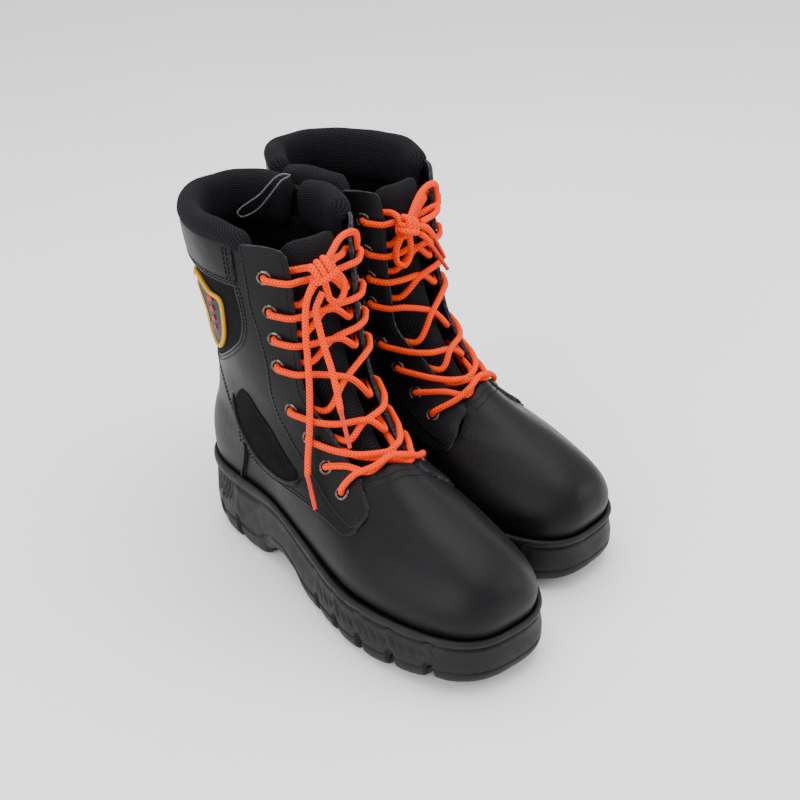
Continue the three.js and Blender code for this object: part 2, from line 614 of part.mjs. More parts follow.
// The lowest slice's outline, moved outward level with the ground.
function soleOutline(offset) {
  const ring = SLICES[0];
  return ring.map((p, j) => {
    const along = ring[(j + 1) % AROUND].clone().sub(ring[(j + AROUND - 1) % AROUND]);
    const out = new THREE.Vector2(-along.y, along.x).normalize();
    return new THREE.Vector3(p.x + out.x * offset, p.y + out.y * offset, 0);
  });
}

// Sole height at a share of the way from the ground to the rim.
function soleRing(offset, share) {
  return soleOutline(offset).map((p) => {
    const s = HEEL_Y - p.y;
    const low = toeLift(s);
    return new THREE.Vector3(p.x, p.y, low + (randTop(s) - low) * share);
  });
}

// A slab between two lines [s, z], within the outline of the lowest slice.
function slab(offset, lower, upper) {
  const outline = soleOutline(offset);
  const column = loft([shifted(outline, -5), shifted(outline, 80)]);
  const stations = [-20, 60, 100, 130, 160, 190, 220, 250, 280, 330].map((s) => s * GRADE_S);
  const side = [...stations.map((s) => [s, lower(s)]), ...stations.map((s) => [s, upper(s)]).reverse()];
  return column.intersect(sidePrism(side));
}

function buildSole() {
  const body = loft([
    soleRing(SOLE_FLARE - 4.5, -0.12),
    soleRing(SOLE_FLARE - 1, 0.16),
    soleRing(SOLE_FLARE, 0.55),
    soleRing(SOLE_FLARE, 0.94),
    soleRing(SOLE_FLARE - 1.5, 1),
  ]);
  const seat = (() => {
    const low = offsetSlice(0, FIT);
    return loft([shifted(low, -FIT), low, offsetSlice(1, FIT), offsetSlice(2, FIT), offsetSlice(3, FIT)]);
  })();
  const floor = (s) => lineAt(FLOOR_LINE, s);
  const boardTop = (s) => floor(s) - FOOTBED - FIT;
  const tubFloor = (s) => boardTop(s) - INSOLE_BOARD - FIT;
  const tub = slab(LINING_IN - FIT, tubFloor, () => 75);
  const tread = (s) => lineAt(TREAD_LINE, s);
  const stations = [-20, 40, 85, 100, 115, 130, 140, 152, 165, 200, 230, 250, 270, 290, 310, 330]
    .map((station) => station * GRADE_S);
  const ground = stations.map((station) => [station, toeLift(station)]).reverse();
  const farBelow = [[stations[stations.length - 1], -20], [stations[0], -20]];
  const below = (gap, floorLine) =>
    sidePrism([...stations.map((station) => [station, tread(station) + gap]), ...floorLine]);
  const arch = sidePrism(ARCH.map(([s, z]) => [s * GRADE_S, z]));
  const grooves = [...HEEL_GROOVES, ...FOREFOOT_GROOVES].map((station) => {
    const s = station * GRADE_S;
    const top = toeLift(s) + GROOVE_DEPTH;
    const half = GROOVE_WIDTH / 2;
    return sidePrism([[s - half, -5], [s + half, -5], [s + half * 0.7, top], [s - half * 0.7, top]]);
  });
  return {
    outsole: body.intersect(below(0, ground)).subtract(arch).subtract(joined(grooves)),
    midsole: body.subtract(below(FIT, farBelow)).subtract(seat).subtract(tub),
    insole_board: slab(LINING_IN - 2 * FIT, (s) => boardTop(s) - INSOLE_BOARD, boardTop),
    footbed: slab(LINING_IN - 2 * FIT, (s) => floor(s) - FOOTBED, floor),
  };
}

// ---- the zip ---------------------------------------------------------------------------------------
const TEETH_TOP = ZIP_TAPE / 2 + TEETH_HEIGHT / 2;
const SLIDER_REST = ZIP_LENGTH - SLIDER.length / 2;
const SLIDER_LIFT = TEETH_TOP + 0.4;
const POST_UP = 3;

function zipTape(side) {
  const edge = ZIP_HALF_GAP - FIT;
  const middle = side * (edge + FIT) / 2;
  const tape = block(zipFrame, edge - FIT, ZIP_LENGTH + 4, ZIP_TAPE, middle, ZIP_LENGTH / 2, 0);
  const teeth = block(zipFrame, TEETH_WIDTH, ZIP_LENGTH, TEETH_HEIGHT, side * (FIT + TEETH_WIDTH / 2),
    ZIP_LENGTH / 2, TEETH_TOP - TEETH_HEIGHT / 2);
  return tape.add(teeth);
}

// The puller hangs on a headed post and swings from side to side on it.
function buildZip() {
  const plateTop = SLIDER_LIFT + SLIDER.plate;
  const plate = block(zipFrame, SLIDER.width, SLIDER.length, SLIDER.plate, 0, SLIDER_REST,
    SLIDER_LIFT + SLIDER.plate / 2);
  const at = new THREE.Vector3(0, SLIDER_REST + POST_UP, 0).applyMatrix4(zipFrame);
  const postFrame = zipFrame.clone().setPosition(at);
  const headFrom = plateTop + PULLER.thick + 2 * FIT;
  const post = plug(postFrame, POST, plateTop - 0.5, headFrom + 0.2, 10);
  const head = plug(postFrame, POST + 2, headFrom, headFrom + 0.6, 10);
  const from = PULLER.width / 2;
  const reach = PULLER.length;
  const blade = block(postFrame, PULLER.width, reach, PULLER.thick, 0, from - reach / 2,
    plateTop + FIT + PULLER.thick / 2);
  const eye = plug(postFrame, POST + 2 * FIT, plateTop, headFrom + 1, 10);
  const slot = block(postFrame, PULLER.width - 2.4, 4, PULLER.thick + 2, 0, from - reach + 4.2,
    plateTop + FIT + PULLER.thick / 2);
  return {
    zip_tape_front: zipTape(1),
    zip_tape_rear: zipTape(-1),
    zip_slider: joined([plate, post, head]),
    zip_puller: blade.subtract(eye).subtract(slot),
  };
}

// ---- the laces ---------------------------------------------------------------------------------------
// Routes by hand in the boot's own frame [x, s, z].
const KNOT = { right: [-9, 147, 230], left: [17, 148, 222] };
const BOW = {
  right: [[-4, 148, 228], [1, 150, 224], [3, 150, 217], [-2, 151, 210], [-8, 151, 214], [-8, 150, 224]],
  left: [[20, 148, 218], [25, 145, 209], [27, 145, 202], [24, 147, 196], [18, 150, 197], [16, 150, 205],
    [16, 149, 217]],
};
const TAILS = {
  right: [
    [[-16.9, 149, 224.4], [-20.5, 149, 219], [-23, 148, 210], [-24.5, 147.5, 191], [-25.5, 149, 176],
      [-28, 152, 158], [-31, 154, 138], [-34, 155.5, 123], [-37, 157, 111], [-41, 161.5, 102]],
    [[-12, 151.5, 218.5], [-15.5, 151.5, 213.5], [-17.5, 150.5, 208], [-17, 152, 196], [-16, 154.5, 183],
      [-15, 159, 169], [-16, 165, 155], [-18, 170.5, 144]],
  ],
  left: [
    [[8.1, 151.7, 221.2], [2, 152.5, 218], [-6, 152, 208]],
    [[9, 153.0, 216], [4, 153.5, 211.5], [-1, 154, 204]],
  ],
};
const TIPS = {
  right: [[-48, 178.5, 88], [-21, 182.5, 124]],
  left: [[-18, 150, 189], [-12, 158.5, 184]],
};
const TIE_LOOP = [[36, 49, 256.4], [33, 46, 257.4], [28, 43.5, 256], [23, 40, 250.5], [18, 36, 244],
  [12.5, 31, 239], [7.5, 27.3, 235], [4.5, 26.7, 232], [6.5, 27.7, 229], [12, 31.4, 230.5], [16.5, 36.4, 235],
  [20, 42, 242], [24, 47, 249.5], [28, 50, 255], [33, 52, 257.2]];
const LACE_OVER = 4.6;
const LACE_UNDER = TAPE_BACK - 4 * FIT - LACE / 2;
const LACE_MIDDLE = -5.2;
const ROW = EYELETS.length;
const LACE_SIDES = 5;

function crossing(side, i) {
  const z = Math.max(EYELETS[i][1] - 3, LOWEST_EDGE);
  const edge = edgeHalfWidth(z);
  return [
    lift(eyeletSpots(side)[i], LACE_OVER),
    lift(onFront(side * (edge + 2), z), LACE / 2 + 1.6),
    lift(onFront(side * (edge - 4), z), 1.5),
  ];
}

function arrival(side, i) {
  const z = Math.max(EYELETS[i][1] + 3, LOWEST_EDGE);
  const edge = onFront(side * (edgeHalfWidth(z) - 3), z);
  return [lift(edge, LACE_UNDER), lift(eyeletSpots(side)[i], LACE_UNDER)];
}

function buildLace(hand) {
  const strands = [];
  for (const side of [-1, 1]) {
    eyeletSpots(side).forEach((spot) => {
      strands.push(plug(standOn(spot), LACE, LACE_UNDER - LACE / 2, LACE_OVER + LACE / 2, LACE_SIDES));
    });
    for (let i = 0; i < ROW - 1; i += 1) {
      const between = (EYELETS[i][1] + EYELETS[i + 1][1]) / 2 + 8;
      const middle = lift(onFront(0, Math.max(between, LOWEST_EDGE + 3)), LACE_MIDDLE);
      strands.push(tube([...crossing(side, i), middle, ...arrival(-side, i + 1)], LACE, LACE_SIDES, 7));
    }
    const [under, back] = arrival(side, 0);
    const knot = place(...KNOT[hand]);
    const rise = under.clone().lerp(knot, 0.35);
    rise.y = under.y - 2;
    strands.push(tube([back, under, rise, knot], LACE, LACE_SIDES, 4));
  }
  const barMiddle = lift(onFront(0, 122), -2);
  const bar = [...crossing(-1, ROW - 1), barMiddle, ...crossing(1, ROW - 1).reverse()];
  strands.push(tube(bar, LACE, LACE_SIDES, 7));
  const knob = new THREE.SphereGeometry(1, 8, 6);
  knob.scale(10, 5.6, 7.5);
  knob.translate(...place(...KNOT[hand]).toArray());
  strands.push(toSolid(knob));
  strands.push(tube(BOW[hand].map((p) => place(...p)), LACE, LACE_SIDES, 7));
  return joined(strands);
}

function buildTails(hand) {
  const pieces = {};
  TAILS[hand].forEach((route, n) => {
    const points = route.map((p) => place(...p));
    const name = 'ab'[n];
    const path = new THREE.CatmullRomCurve3(points, false, 'centripetal');
    pieces[`lace_tail_${name}`] = tube(points, LACE, 8, Math.ceil(path.getLength() / (2.5 * LACE)));
    const last = points[points.length - 1];
    const ahead = path.getTangent(1);
    const start = last.clone().addScaledVector(ahead, FIT);
    const tip = place(...TIPS[hand][n]);
    const out = tip.clone().sub(start).normalize();
    start.addScaledVector(out, FIT);
    pieces[`lace_tip_${name}`] = tube([start, start.clone().lerp(tip, 0.5), tip], AGLET, 8, 3);
  });
  return pieces;
}

// ---- the pair ------------------------------------------------------------------------------------------
const PIECE_FINISH = {
  outsole: 'rubber', midsole: 'rubber', insole_board: 'board', footbed: 'foam', toe_cap: 'composite',
  heel_stiffener: 'composite', lining: 'padding', vamp: 'leather', heel_counter: 'leather',
  quarter_lateral: 'leather', quarter_medial_front: 'leather', quarter_medial_rear: 'leather',
  side_insert: 'nubuck', back_panel: 'fabric', badge: 'badge', collar_band: 'leather', collar_pad: 'padding',
  eyelets_lateral: 'gunmetal', eyelets_medial: 'gunmetal', tongue: 'fabric', zip_tape_front: 'fabric',
  zip_tape_rear: 'fabric', zip_slider: 'gunmetal', zip_puller: 'gunmetal', lace: 'lace', lace_tail_a: 'lace',
  lace_tail_b: 'lace', lace_tip_a: 'tip', lace_tip_b: 'tip', tie_loop: 'tie',
};

function buildBoot(hand, shared) {
  const boot = new THREE.Group();
  const pieces = { ...shared, lace: buildLace(hand), ...buildTails(hand) };
  if (hand === 'right') pieces.tie_loop = tube(TIE_LOOP.map((p) => place(...p)), TIE_CORD, 8, 32);
  for (const [name, solid] of Object.entries(pieces)) {
    const material = new THREE.MeshStandardMaterial(FINISH[PIECE_FINISH[name]]);
    const mesh = new THREE.Mesh(toGeometry(solid), material);
    mesh.name = `${hand}_${name}`;
    boot.add(mesh);
  }
  return boot;
}

const shared = { ...buildSole(), ...buildUpper(), ...buildZip() };
const pair = new THREE.Group();
pair.add(buildBoot('right', shared));
const left = buildBoot('left', shared);
left.scale.x = -1;
left.rotation.z = THREE.MathUtils.degToRad(LEFT_BOOT.turn);
left.position.set(LEFT_BOOT.x, LEFT_BOOT.y, 0);
pair.add(left);

// The origin is on the ground, in the middle of the pair without its loose lace ends.
pair.updateMatrixWorld(true);
const extent = new THREE.Box3();
pair.traverse((mesh) => {
  if (mesh.isMesh && !/lace_t|tie_loop/.test(mesh.name)) extent.expandByObject(mesh, true);
});
const middle = extent.getCenter(new THREE.Vector3());
pair.position.set(-middle.x, -middle.y, 0);

export default pair;
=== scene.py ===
"""A pair of laced, side-zipped leather fire boots with padded collars and thick rubber soles.

Every piece is made once as a right boot, in the boot's own frame in millimetres: x from the outer side (-)
to the inner side (+), y toward the heel, z up. The left boot is its mirror image.
"""
import math

import bpy
import numpy as np
from mathutils import Matrix, Vector
from mathutils.geometry import delaunay_2d_cdt
from mathutils.kdtree import KDTree


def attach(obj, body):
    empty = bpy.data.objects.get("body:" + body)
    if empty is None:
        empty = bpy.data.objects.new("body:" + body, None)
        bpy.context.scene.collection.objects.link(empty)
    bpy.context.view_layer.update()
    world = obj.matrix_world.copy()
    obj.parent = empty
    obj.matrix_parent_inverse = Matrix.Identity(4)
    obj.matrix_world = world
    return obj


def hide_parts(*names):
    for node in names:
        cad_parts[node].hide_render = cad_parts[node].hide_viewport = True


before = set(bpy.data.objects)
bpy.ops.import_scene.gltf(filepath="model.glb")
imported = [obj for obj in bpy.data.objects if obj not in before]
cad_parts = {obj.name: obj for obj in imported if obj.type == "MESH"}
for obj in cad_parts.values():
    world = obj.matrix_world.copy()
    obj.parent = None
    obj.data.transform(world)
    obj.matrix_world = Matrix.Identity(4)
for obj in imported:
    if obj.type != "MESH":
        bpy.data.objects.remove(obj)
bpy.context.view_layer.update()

MM = 0.001

# ---- where the two boots stand -----------------------------------------------------------------
RIGHT_AT = Vector((-56.96, -16.12, 0)) * MM
LEFT_FROM_RIGHT = Vector((104.5, 42.0, 0)) * MM
LEFT_TURN = math.radians(7.5)
HEEL_Y = 150.0
BOOT = {
    "right": Matrix.Translation(RIGHT_AT) @ Matrix.Scale(MM, 4),
    "left": Matrix.Translation(RIGHT_AT + LEFT_FROM_RIGHT) @ Matrix.Rotation(LEFT_TURN, 4, "Z")
    @ Matrix.Scale(-1, 4, (1, 0, 0)) @ Matrix.Scale(MM, 4),
}
HANDS = ("right", "left")

# ---- camera ------------------------------------------------------------------------------------
CAMERA_TURN = math.radians(-36.63)
CAMERA_RISE = math.radians(29.12)
CAMERA_ROLL = math.radians(2.77)
CAMERA_AWAY = 0.8336
CAMERA_LENS = 54.35
CAMERA_TARGET = Vector((-4.26, -4.37, 112.85)) * MM


def add_camera():
    """Looks down on the boots from in front of the right boot's outer side."""
    back = Vector((math.sin(CAMERA_TURN) * math.cos(CAMERA_RISE),
                   -math.cos(CAMERA_TURN) * math.cos(CAMERA_RISE), math.sin(CAMERA_RISE)))
    data = bpy.data.cameras.new("camera")
    data.lens = CAMERA_LENS
    data.sensor_width = 36
    camera = bpy.data.objects.new("camera", data)
    bpy.context.collection.objects.link(camera)
    look = (-back).to_track_quat("-Z", "Y").to_matrix().to_4x4()
    roll = Matrix.Rotation(-CAMERA_ROLL, 4, "Z")
    camera.matrix_world = Matrix.Translation(CAMERA_TARGET + back * CAMERA_AWAY) @ look @ roll
    bpy.context.scene.camera = camera


add_camera()

# ---- materials ---------------------------------------------------------------------------------
# Pattern sizes are millimetres on the boot. Threads, yarns and grain finer than about a millimetre
# are drawn up to twice as coarse as the real ones, so that they show.
BRAID_PITCH = 2.2                # along the lace, from one yarn to the next
BRAID_PAIRS = 4                  # pairs of yarns that cross round the lace


def colour(code):
    """An sRGB hex colour as linear RGBA."""
    parts = [int(code[i:i + 2], 16) / 255 for i in (1, 3, 5)]
    return tuple(p / 12.92 if p <= 0.04045 else ((p + 0.055) / 1.055) ** 2.4 for p in parts) + (1.0,)


def node(tree, kind, inputs=(), stops=(), output=0, **settings):
    """Adds a shader node and returns one output: inputs are values or sockets, stops a ramp's colours."""
    made = tree.nodes.new("ShaderNode" + kind)
    for name, value in settings.items():
        setattr(made, name, value)
    for name, value in dict(inputs).items():
        if isinstance(value, bpy.types.NodeSocket):
            tree.links.new(value, made.inputs[name])
        else:
            made.inputs[name].default_value = value
    for place, (position, code) in enumerate(stops):
        made.color_ramp.elements[place].position = position
        made.color_ramp.elements[place].color = colour(code)
    return made.outputs[output]


def new_material(name, base, roughness, **settings):
    """A material whose uniform values are set on its shader."""
    material = bpy.data.materials.new(name)
    material.use_nodes = True
    tree = material.node_tree
    shader = tree.nodes["Principled BSDF"]
    shader.inputs["Base Color"].default_value = colour(base)
    shader.inputs["Roughness"].default_value = roughness
    for key, value in settings.items():
        shader.inputs[key.replace("_", " ")].default_value = value
    return material, tree, shader


def scale_of(size_mm):
    """The scale that gives a pattern features of about size_mm."""
    return 1 / (size_mm * MM)


def cloth_axes(tree):
    """Millimetres along and across the cloth, kept as the piece's UV map."""
    cloth = node(tree, "UVMap", uv_map="cloth")
    return [node(tree, "SeparateXYZ", {"Vector": cloth}, output=axis) for axis in "XY"]


def wave(tree, place, spacing_mm):
    """A smooth wave from -1 to 1, once every spacing_mm."""
    turn = node(tree, "Math", {0: place, 1: math.tau / spacing_mm}, operation="MULTIPLY")
    return node(tree, "Math", {0: turn}, operation="SINE")


def finish(tree, shader, pattern, stops, height=None, relief_mm=0.0, strength=1.0):
    """Colours the shader by a pattern and raises its surface by a height."""
    tree.links.new(node(tree, "ValToRGB", {"Fac": pattern}, stops), shader.inputs["Base Color"])
    if height is not None:
        relief = {"Height": height, "Strength": strength, "Distance": relief_mm * MM}
        tree.links.new(node(tree, "Bump", relief), shader.inputs["Normal"])


def corrected_leather(name, base="#08080a", sheen_and_wear="#0f0f12", roughness=0.44):
    """Side leather with a smooth pigmented finish: satin black, faint grain, and large lighter, softer
    patches that are partly wear and partly painted sheen.
    """
    material, tree, shader = new_material(name, base, roughness, Specular_IOR_Level=0.17)
    where = node(tree, "TexCoord", output="Object")
    patches = node(tree, "TexNoise", {"Vector": where, "Scale": scale_of(38), "Detail": 4, "Roughness": 0.55})
    grain = node(tree, "TexVoronoi", {"Vector": where, "Scale": scale_of(0.9)}, feature="DISTANCE_TO_EDGE")
    pores = node(tree, "TexNoise", {"Vector": where, "Scale": scale_of(0.5), "Detail": 2, "Roughness": 0.55})
    creases = node(tree, "TexNoise", {"Vector": where, "Scale": scale_of(9), "Detail": 5, "Roughness": 0.62})
    pitted = node(tree, "Math", {0: pores, 1: 0.09, 2: creases}, operation="MULTIPLY_ADD")
    height = node(tree, "Math", {0: grain, 1: 0.045, 2: pitted}, operation="MULTIPLY_ADD")
    # Painted sheen and wear: large patches turn from the base colour to the lighter one, and are rougher
    # there.
    finish(tree, shader, patches, [(0.35, base), (0.72, sheen_and_wear)], height, 0.55, 0.55)
    dull = node(tree, "MapRange", {"Value": patches, "From Min": 0.3, "From Max": 0.75,
                                   "To Min": roughness - 0.06, "To Max": roughness + 0.08})
    tree.links.new(dull, shader.inputs["Roughness"])
    return material


def napped_leather():
    """Nubuck: sanded grain with a short nap, the dullest black on the boot."""
    material, tree, shader = new_material("nubuck", "#0a0a0b", 0.95, Specular_IOR_Level=0.1)
    where = node(tree, "TexCoord", output="Object")
    nap = node(tree, "TexNoise", {"Vector": where, "Scale": scale_of(0.8), "Detail": 4, "Roughness": 0.7})
    brushed = node(tree, "TexNoise", {"Vector": where, "Scale": scale_of(14), "Detail": 3, "Roughness": 0.55})
    finish(tree, shader, brushed, [(0.35, "#070708"), (0.7, "#0f0f10")], nap, 0.25, 0.8)
    return material


def cut_edge():
    """The raw cut edge of the leather, dyed black but rubbed to grey."""
    material, tree, shader = new_material("cut_edge", "#24262b", 0.75, Specular_IOR_Level=0.2)
    where = node(tree, "TexCoord", output="Object")
    wear = node(tree, "TexNoise", {"Vector": where, "Scale": scale_of(2.2), "Detail": 5, "Roughness": 0.7})
    finish(tree, shader, wear, [(0.42, "#131417"), (0.72, "#484c57")], wear, 0.3, 0.7)
    return material


def twill(name, thread_mm, base="#050506", light="#161619", zigzag_mm=0.0):
    """Twill cloth: dull diagonal ribs, painted lighter on their tops as highlight and darker in the grooves
    as shade; with a zigzag the ribs turn back, as in herringbone.
    """
    material, tree, shader = new_material(name, base, 0.9, Specular_IOR_Level=0.12)
    along, across = cloth_axes(tree)
    if zigzag_mm:
        along = node(tree, "Math", {0: along, 1: zigzag_mm}, operation="PINGPONG")
    diagonal = node(tree, "Math", {0: along, 1: across}, operation="ADD")
    weft = node(tree, "Math", {0: wave(tree, across, thread_mm), 1: 0.1, 2: 0.5}, operation="MULTIPLY_ADD")
    height = node(tree, "Math", {0: wave(tree, diagonal, thread_mm * 1.6), 1: 0.4, 2: weft},
                  operation="MULTIPLY_ADD")
    # Painted highlight and shade: the colour follows the rib height, from base in the grooves to light on the
    # rib tops.
    finish(tree, shader, height, [(0.1, base), (0.95, light)], height, 0.5, 0.9)
    return material


def spacer_knit(name, cell_mm, base, light):
    """Spacer knit over foam: rows of small open cells, staggered like honeycomb, with painted shade inside
    them.
    """
    material, tree, shader = new_material(name, base, 0.92, Specular_IOR_Level=0.12)
    along, across = cloth_axes(tree)
    row = node(tree, "Math", {0: across, 1: 1 / cell_mm}, operation="MULTIPLY")
    whole = node(tree, "Math", {0: row}, operation="FLOOR")
    stagger = node(tree, "Math", {0: whole, 1: 0.5}, operation="MULTIPLY")
    column = node(tree, "Math", {0: along, 1: 1 / (cell_mm * 1.25), 2: stagger}, operation="MULTIPLY_ADD")
    squares = []
    for place in (column, row):
        part = node(tree, "Math", {0: place}, operation="FRACT")
        off = node(tree, "Math", {0: part, 1: 0.5}, operation="SUBTRACT")
        squares.append(node(tree, "Math", {0: off, 1: off}, operation="MULTIPLY"))
    both = node(tree, "Math", {0: squares[0], 1: squares[1]}, operation="ADD")
    away = node(tree, "Math", {0: both}, operation="SQRT")
    height = node(tree, "MapRange", {"Value": away, "From Min": 0.12, "From Max": 0.48},
                  interpolation_type="SMOOTHSTEP")
    # Painted shade: near black down in the cells, the light colour on the yarns around them.
    finish(tree, shader, height, [(0.0, "#020203"), (1.0, light)], height, 0.7, 0.9)
    return material


def brushed_textile(name, base="#060607", light="#0e0e10"):
    """Brushed polyester: a short soft pile without any shine."""
    material, tree, shader = new_material(name, base, 0.95, Specular_IOR_Level=0.1)
    where = node(tree, "TexCoord", output="Object")
    pile = node(tree, "TexNoise", {"Vector": where, "Scale": scale_of(1.1), "Detail": 4, "Roughness": 0.7})
    finish(tree, shader, pile, [(0.3, base), (0.75, light)], pile, 0.4, 0.6)
    return material


def moulded_rubber():
    """Moulded nitrile rubber: matt black with a faint mould texture and dusty scuffs."""
    material, tree, shader = new_material("rubber", "#0a0a0b", 0.5, Specular_IOR_Level=0.26)
    where = node(tree, "TexCoord", output="Object")
    mould = node(tree, "TexNoise", {"Vector": where, "Scale": scale_of(0.7), "Detail": 3, "Roughness": 0.55})
    scuffs = node(tree, "TexNoise", {"Vector": where, "Scale": scale_of(11), "Detail": 6, "Roughness": 0.7})
    finish(tree, shader, scuffs, [(0.55, "#0a0a0b"), (0.82, "#1b1b1d")], mould, 0.12, 0.6)
    dull = node(tree, "MapRange", {"Value": scuffs, "From Min": 0.35, "From Max": 0.7, "To Min": 0.46,
                                   "To Max": 0.66})
    tree.links.new(dull, shader.inputs["Roughness"])
    return material


def plated_brass(name):
    """Gunmetal plating over brass: dark, polished, with a warm wear on the rims."""
    material, tree, shader = new_material(name, "#4e4c4c", 0.28, Metallic=1.0)
    where = node(tree, "TexCoord", output="Object")
    wear = node(tree, "TexNoise", {"Vector": where, "Scale": scale_of(1.8), "Detail": 4, "Roughness": 0.55})
    finish(tree, shader, wear, [(0.4, "#39383a"), (0.75, "#857b72")])
    dull = node(tree, "MapRange", {"Value": wear, "From Min": 0.3, "From Max": 0.7, "To Min": 0.2,
                                   "To Max": 0.36})
    tree.links.new(dull, shader.inputs["Roughness"])
    return material


def braided_polyester():
    """Round braided polyester cord: bright matt orange, two sets of yarns that cross, with painted shade
    between the yarns.
    """
    material, tree, shader = new_material("lace_cord", "#f52d00", 0.8, Specular_IOR_Level=0.08)
    along, angle = cloth_axes(tree)
    along = node(tree, "Math", {0: along, 1: math.tau / BRAID_PITCH}, operation="MULTIPLY")
    around = node(tree, "Math", {0: angle, 1: BRAID_PAIRS}, operation="MULTIPLY")
    yarns = []
    for lay in ("ADD", "SUBTRACT"):
        turn = node(tree, "Math", {0: along, 1: around}, operation=lay)
        yarns.append(node(tree, "Math", {0: turn}, operation="SINE"))
    above = node(tree, "Math", {0: yarns[0], 1: yarns[1]}, operation="MAXIMUM")
    height = node(tree, "MapRange", {"Value": above, "From Min": -0.4})
    # Painted shade: the orange darkens where the yarns dip between one another.
    finish(tree, shader, height, [(0.0, "#cc2c00"), (0.7, "#ff4400")], height, 0.3, 0.8)
    return material


def shrunk_tip():
    """Heat-shrunk plastic over the cord's end: smoother and a deeper red than the cord."""
    material, tree, shader = new_material("lace_tip", "#c81e06", 0.3, Specular_IOR_Level=0.3)
    where = node(tree, "TexCoord", output="Object")
    ripple = node(tree, "TexNoise", {"Vector": where, "Scale": scale_of(1.6), "Detail": 3, "Roughness": 0.55})
    finish(tree, shader, ripple, [(0.35, "#b81a04"), (0.7, "#d6280a")], ripple, 0.2, 0.5)
    return material


def embroidery(name, base, light, thread_mm=0.45):
    """Satin stitch: close parallel rayon threads with a soft shine, painted lighter on each thread's crown as
    highlight and darker between threads as shade.
    """
    material, tree, shader = new_material(name, base, 0.5, Specular_IOR_Level=0.25)
    along, _ = cloth_axes(tree)
    height = node(tree, "Math", {0: wave(tree, along, thread_mm), 1: 0.5, 2: 0.5}, operation="MULTIPLY_ADD")
    # Painted highlight and shade: the colour follows the height wave of the threads.
    finish(tree, shader, height, [(0.0, base), (0.9, light)], height, 0.25, 0.8)
    return material


def twisted_thread(name, base, light):
    """Bonded nylon thread: smooth, with a dull shine."""
    material, tree, shader = new_material(name, base, 0.6, Specular_IOR_Level=0.2)
    where = node(tree, "TexCoord", output="Object")
    ply = node(tree, "TexNoise", {"Vector": where, "Scale": scale_of(0.6), "Detail": 2, "Roughness": 0.55})
    finish(tree, shader, ply, [(0.3, base), (0.7, light)])
    return material


def pressed_board():
    """Pressed cellulose board: pale, matt, with a mottled fibre."""
    material, tree, shader = new_material("board", "#c9c2a8", 0.9)
    where = node(tree, "TexCoord", output="Object")
    fibre = node(tree, "TexNoise", {"Vector": where, "Scale": scale_of(2.5), "Detail": 5, "Roughness": 0.7})
    finish(tree, shader, fibre, [(0.3, "#b5ad92"), (0.7, "#d6cfb6")], fibre, 0.2, 0.5)
    return material


LEATHER = corrected_leather("leather")
NUBUCK = napped_leather()
EDGE = cut_edge()
TWILL = twill("rear_twill", 1.1)
HERRINGBONE = twill("tongue_herringbone", 1.3, "#050507", "#242428", zigzag_mm=4.0)
MESH_CLOTH = spacer_knit("tongue_mesh", 1.5, "#0d0d0f", "#1d1d20")
KNIT = spacer_knit("collar_knit", 1.6, "#0c0c0e", "#1c1c20")
LINING = brushed_textile("lining")
RUBBER = moulded_rubber()
METAL = plated_brass("gunmetal")
ZIP_METAL = plated_brass("zip_metal")
CORD = braided_polyester()
TIP = shrunk_tip()
YELLOW = embroidery("badge_yellow", "#c98600", "#f2b600")
RED = embroidery("badge_red", "#8c0a16", "#c21424")
GREY = embroidery("badge_field", "#101114", "#1f2125", 0.7)
THREAD = twisted_thread("thread", "#040405", "#101012")
TIE_THREAD = twisted_thread("tie_thread", "#3c3c40", "#77777c")
BOARD = pressed_board()
FOAM = brushed_textile("footbed_top", "#17181b", "#2a2b30")
COMPOSITE = corrected_leather("composite_shell", "#5c574e", "#6f6a60", 0.55)

# ---- the last: the form of the boot ------------------------------------------------------------
# Each section is a nearly level slice on the outer face of the leather: front and back ends (s, z),
# how square its ends are, half widths at five places on the outer and inner side, inward toe shift.
SECTIONS = [
    ((300, 36), (9, 50), 3.0, (46, 39, 44, 52, 51), (45, 34, 35, 48, 53), 6),
    ((304, 54), (5, 64), 3.0, (46, 40, 46, 53, 50), (46, 37, 39, 50, 52), 6),
    ((297, 71), (3, 78), 2.8, (46, 40, 44, 47, 40), (46, 39, 41, 46, 42), 5),
    ((273, 84), (4, 91), 2.6, (44, 40, 41, 38, 31), (44, 39, 40, 38, 33), 4),
    ((240, 94), (7, 104), 2.4, (40, 39, 38, 33, 26), (40, 38, 38, 33, 27), 3),
    ((207, 107), (10, 118), 2.3, (38, 38, 37, 32, 25), (38, 37, 37, 32, 25), 2),
    ((178, 129), (13, 134), 2.3, (36, 37, 37, 34, 29), (36, 36, 37, 34, 29), 1),
    ((158, 155), (14, 154), 2.3, (35, 38, 40, 38, 34), (35, 38, 40, 38, 34), 0),
    ((146, 185), (12, 181), 2.3, (37, 41, 44, 43, 39), (36, 40, 42, 42, 38), 0),
    ((141, 218), (8, 215), 2.4, (40, 45, 48, 47, 43), (38, 42, 45, 44, 41), 0),
    ((138, 250), (5, 254), 2.4, (43, 49, 52, 50, 46), (40, 45, 47, 46, 43), 0),
]
WIDTH_STATIONS = [0, 0.1, 0.3, 0.5, 0.7, 0.9, 1]
TOP = len(SECTIONS) - 1
ROWS = 241
COLUMNS = 181                    # on each side, from the front to the back
FINE_STEPS = 720                 # along a half slice, before it is spaced evenly
LEVELS = np.linspace(0, TOP, ROWS)
AROUND = 165.0                   # millimetres from front to back round the shaft, for flat patterns


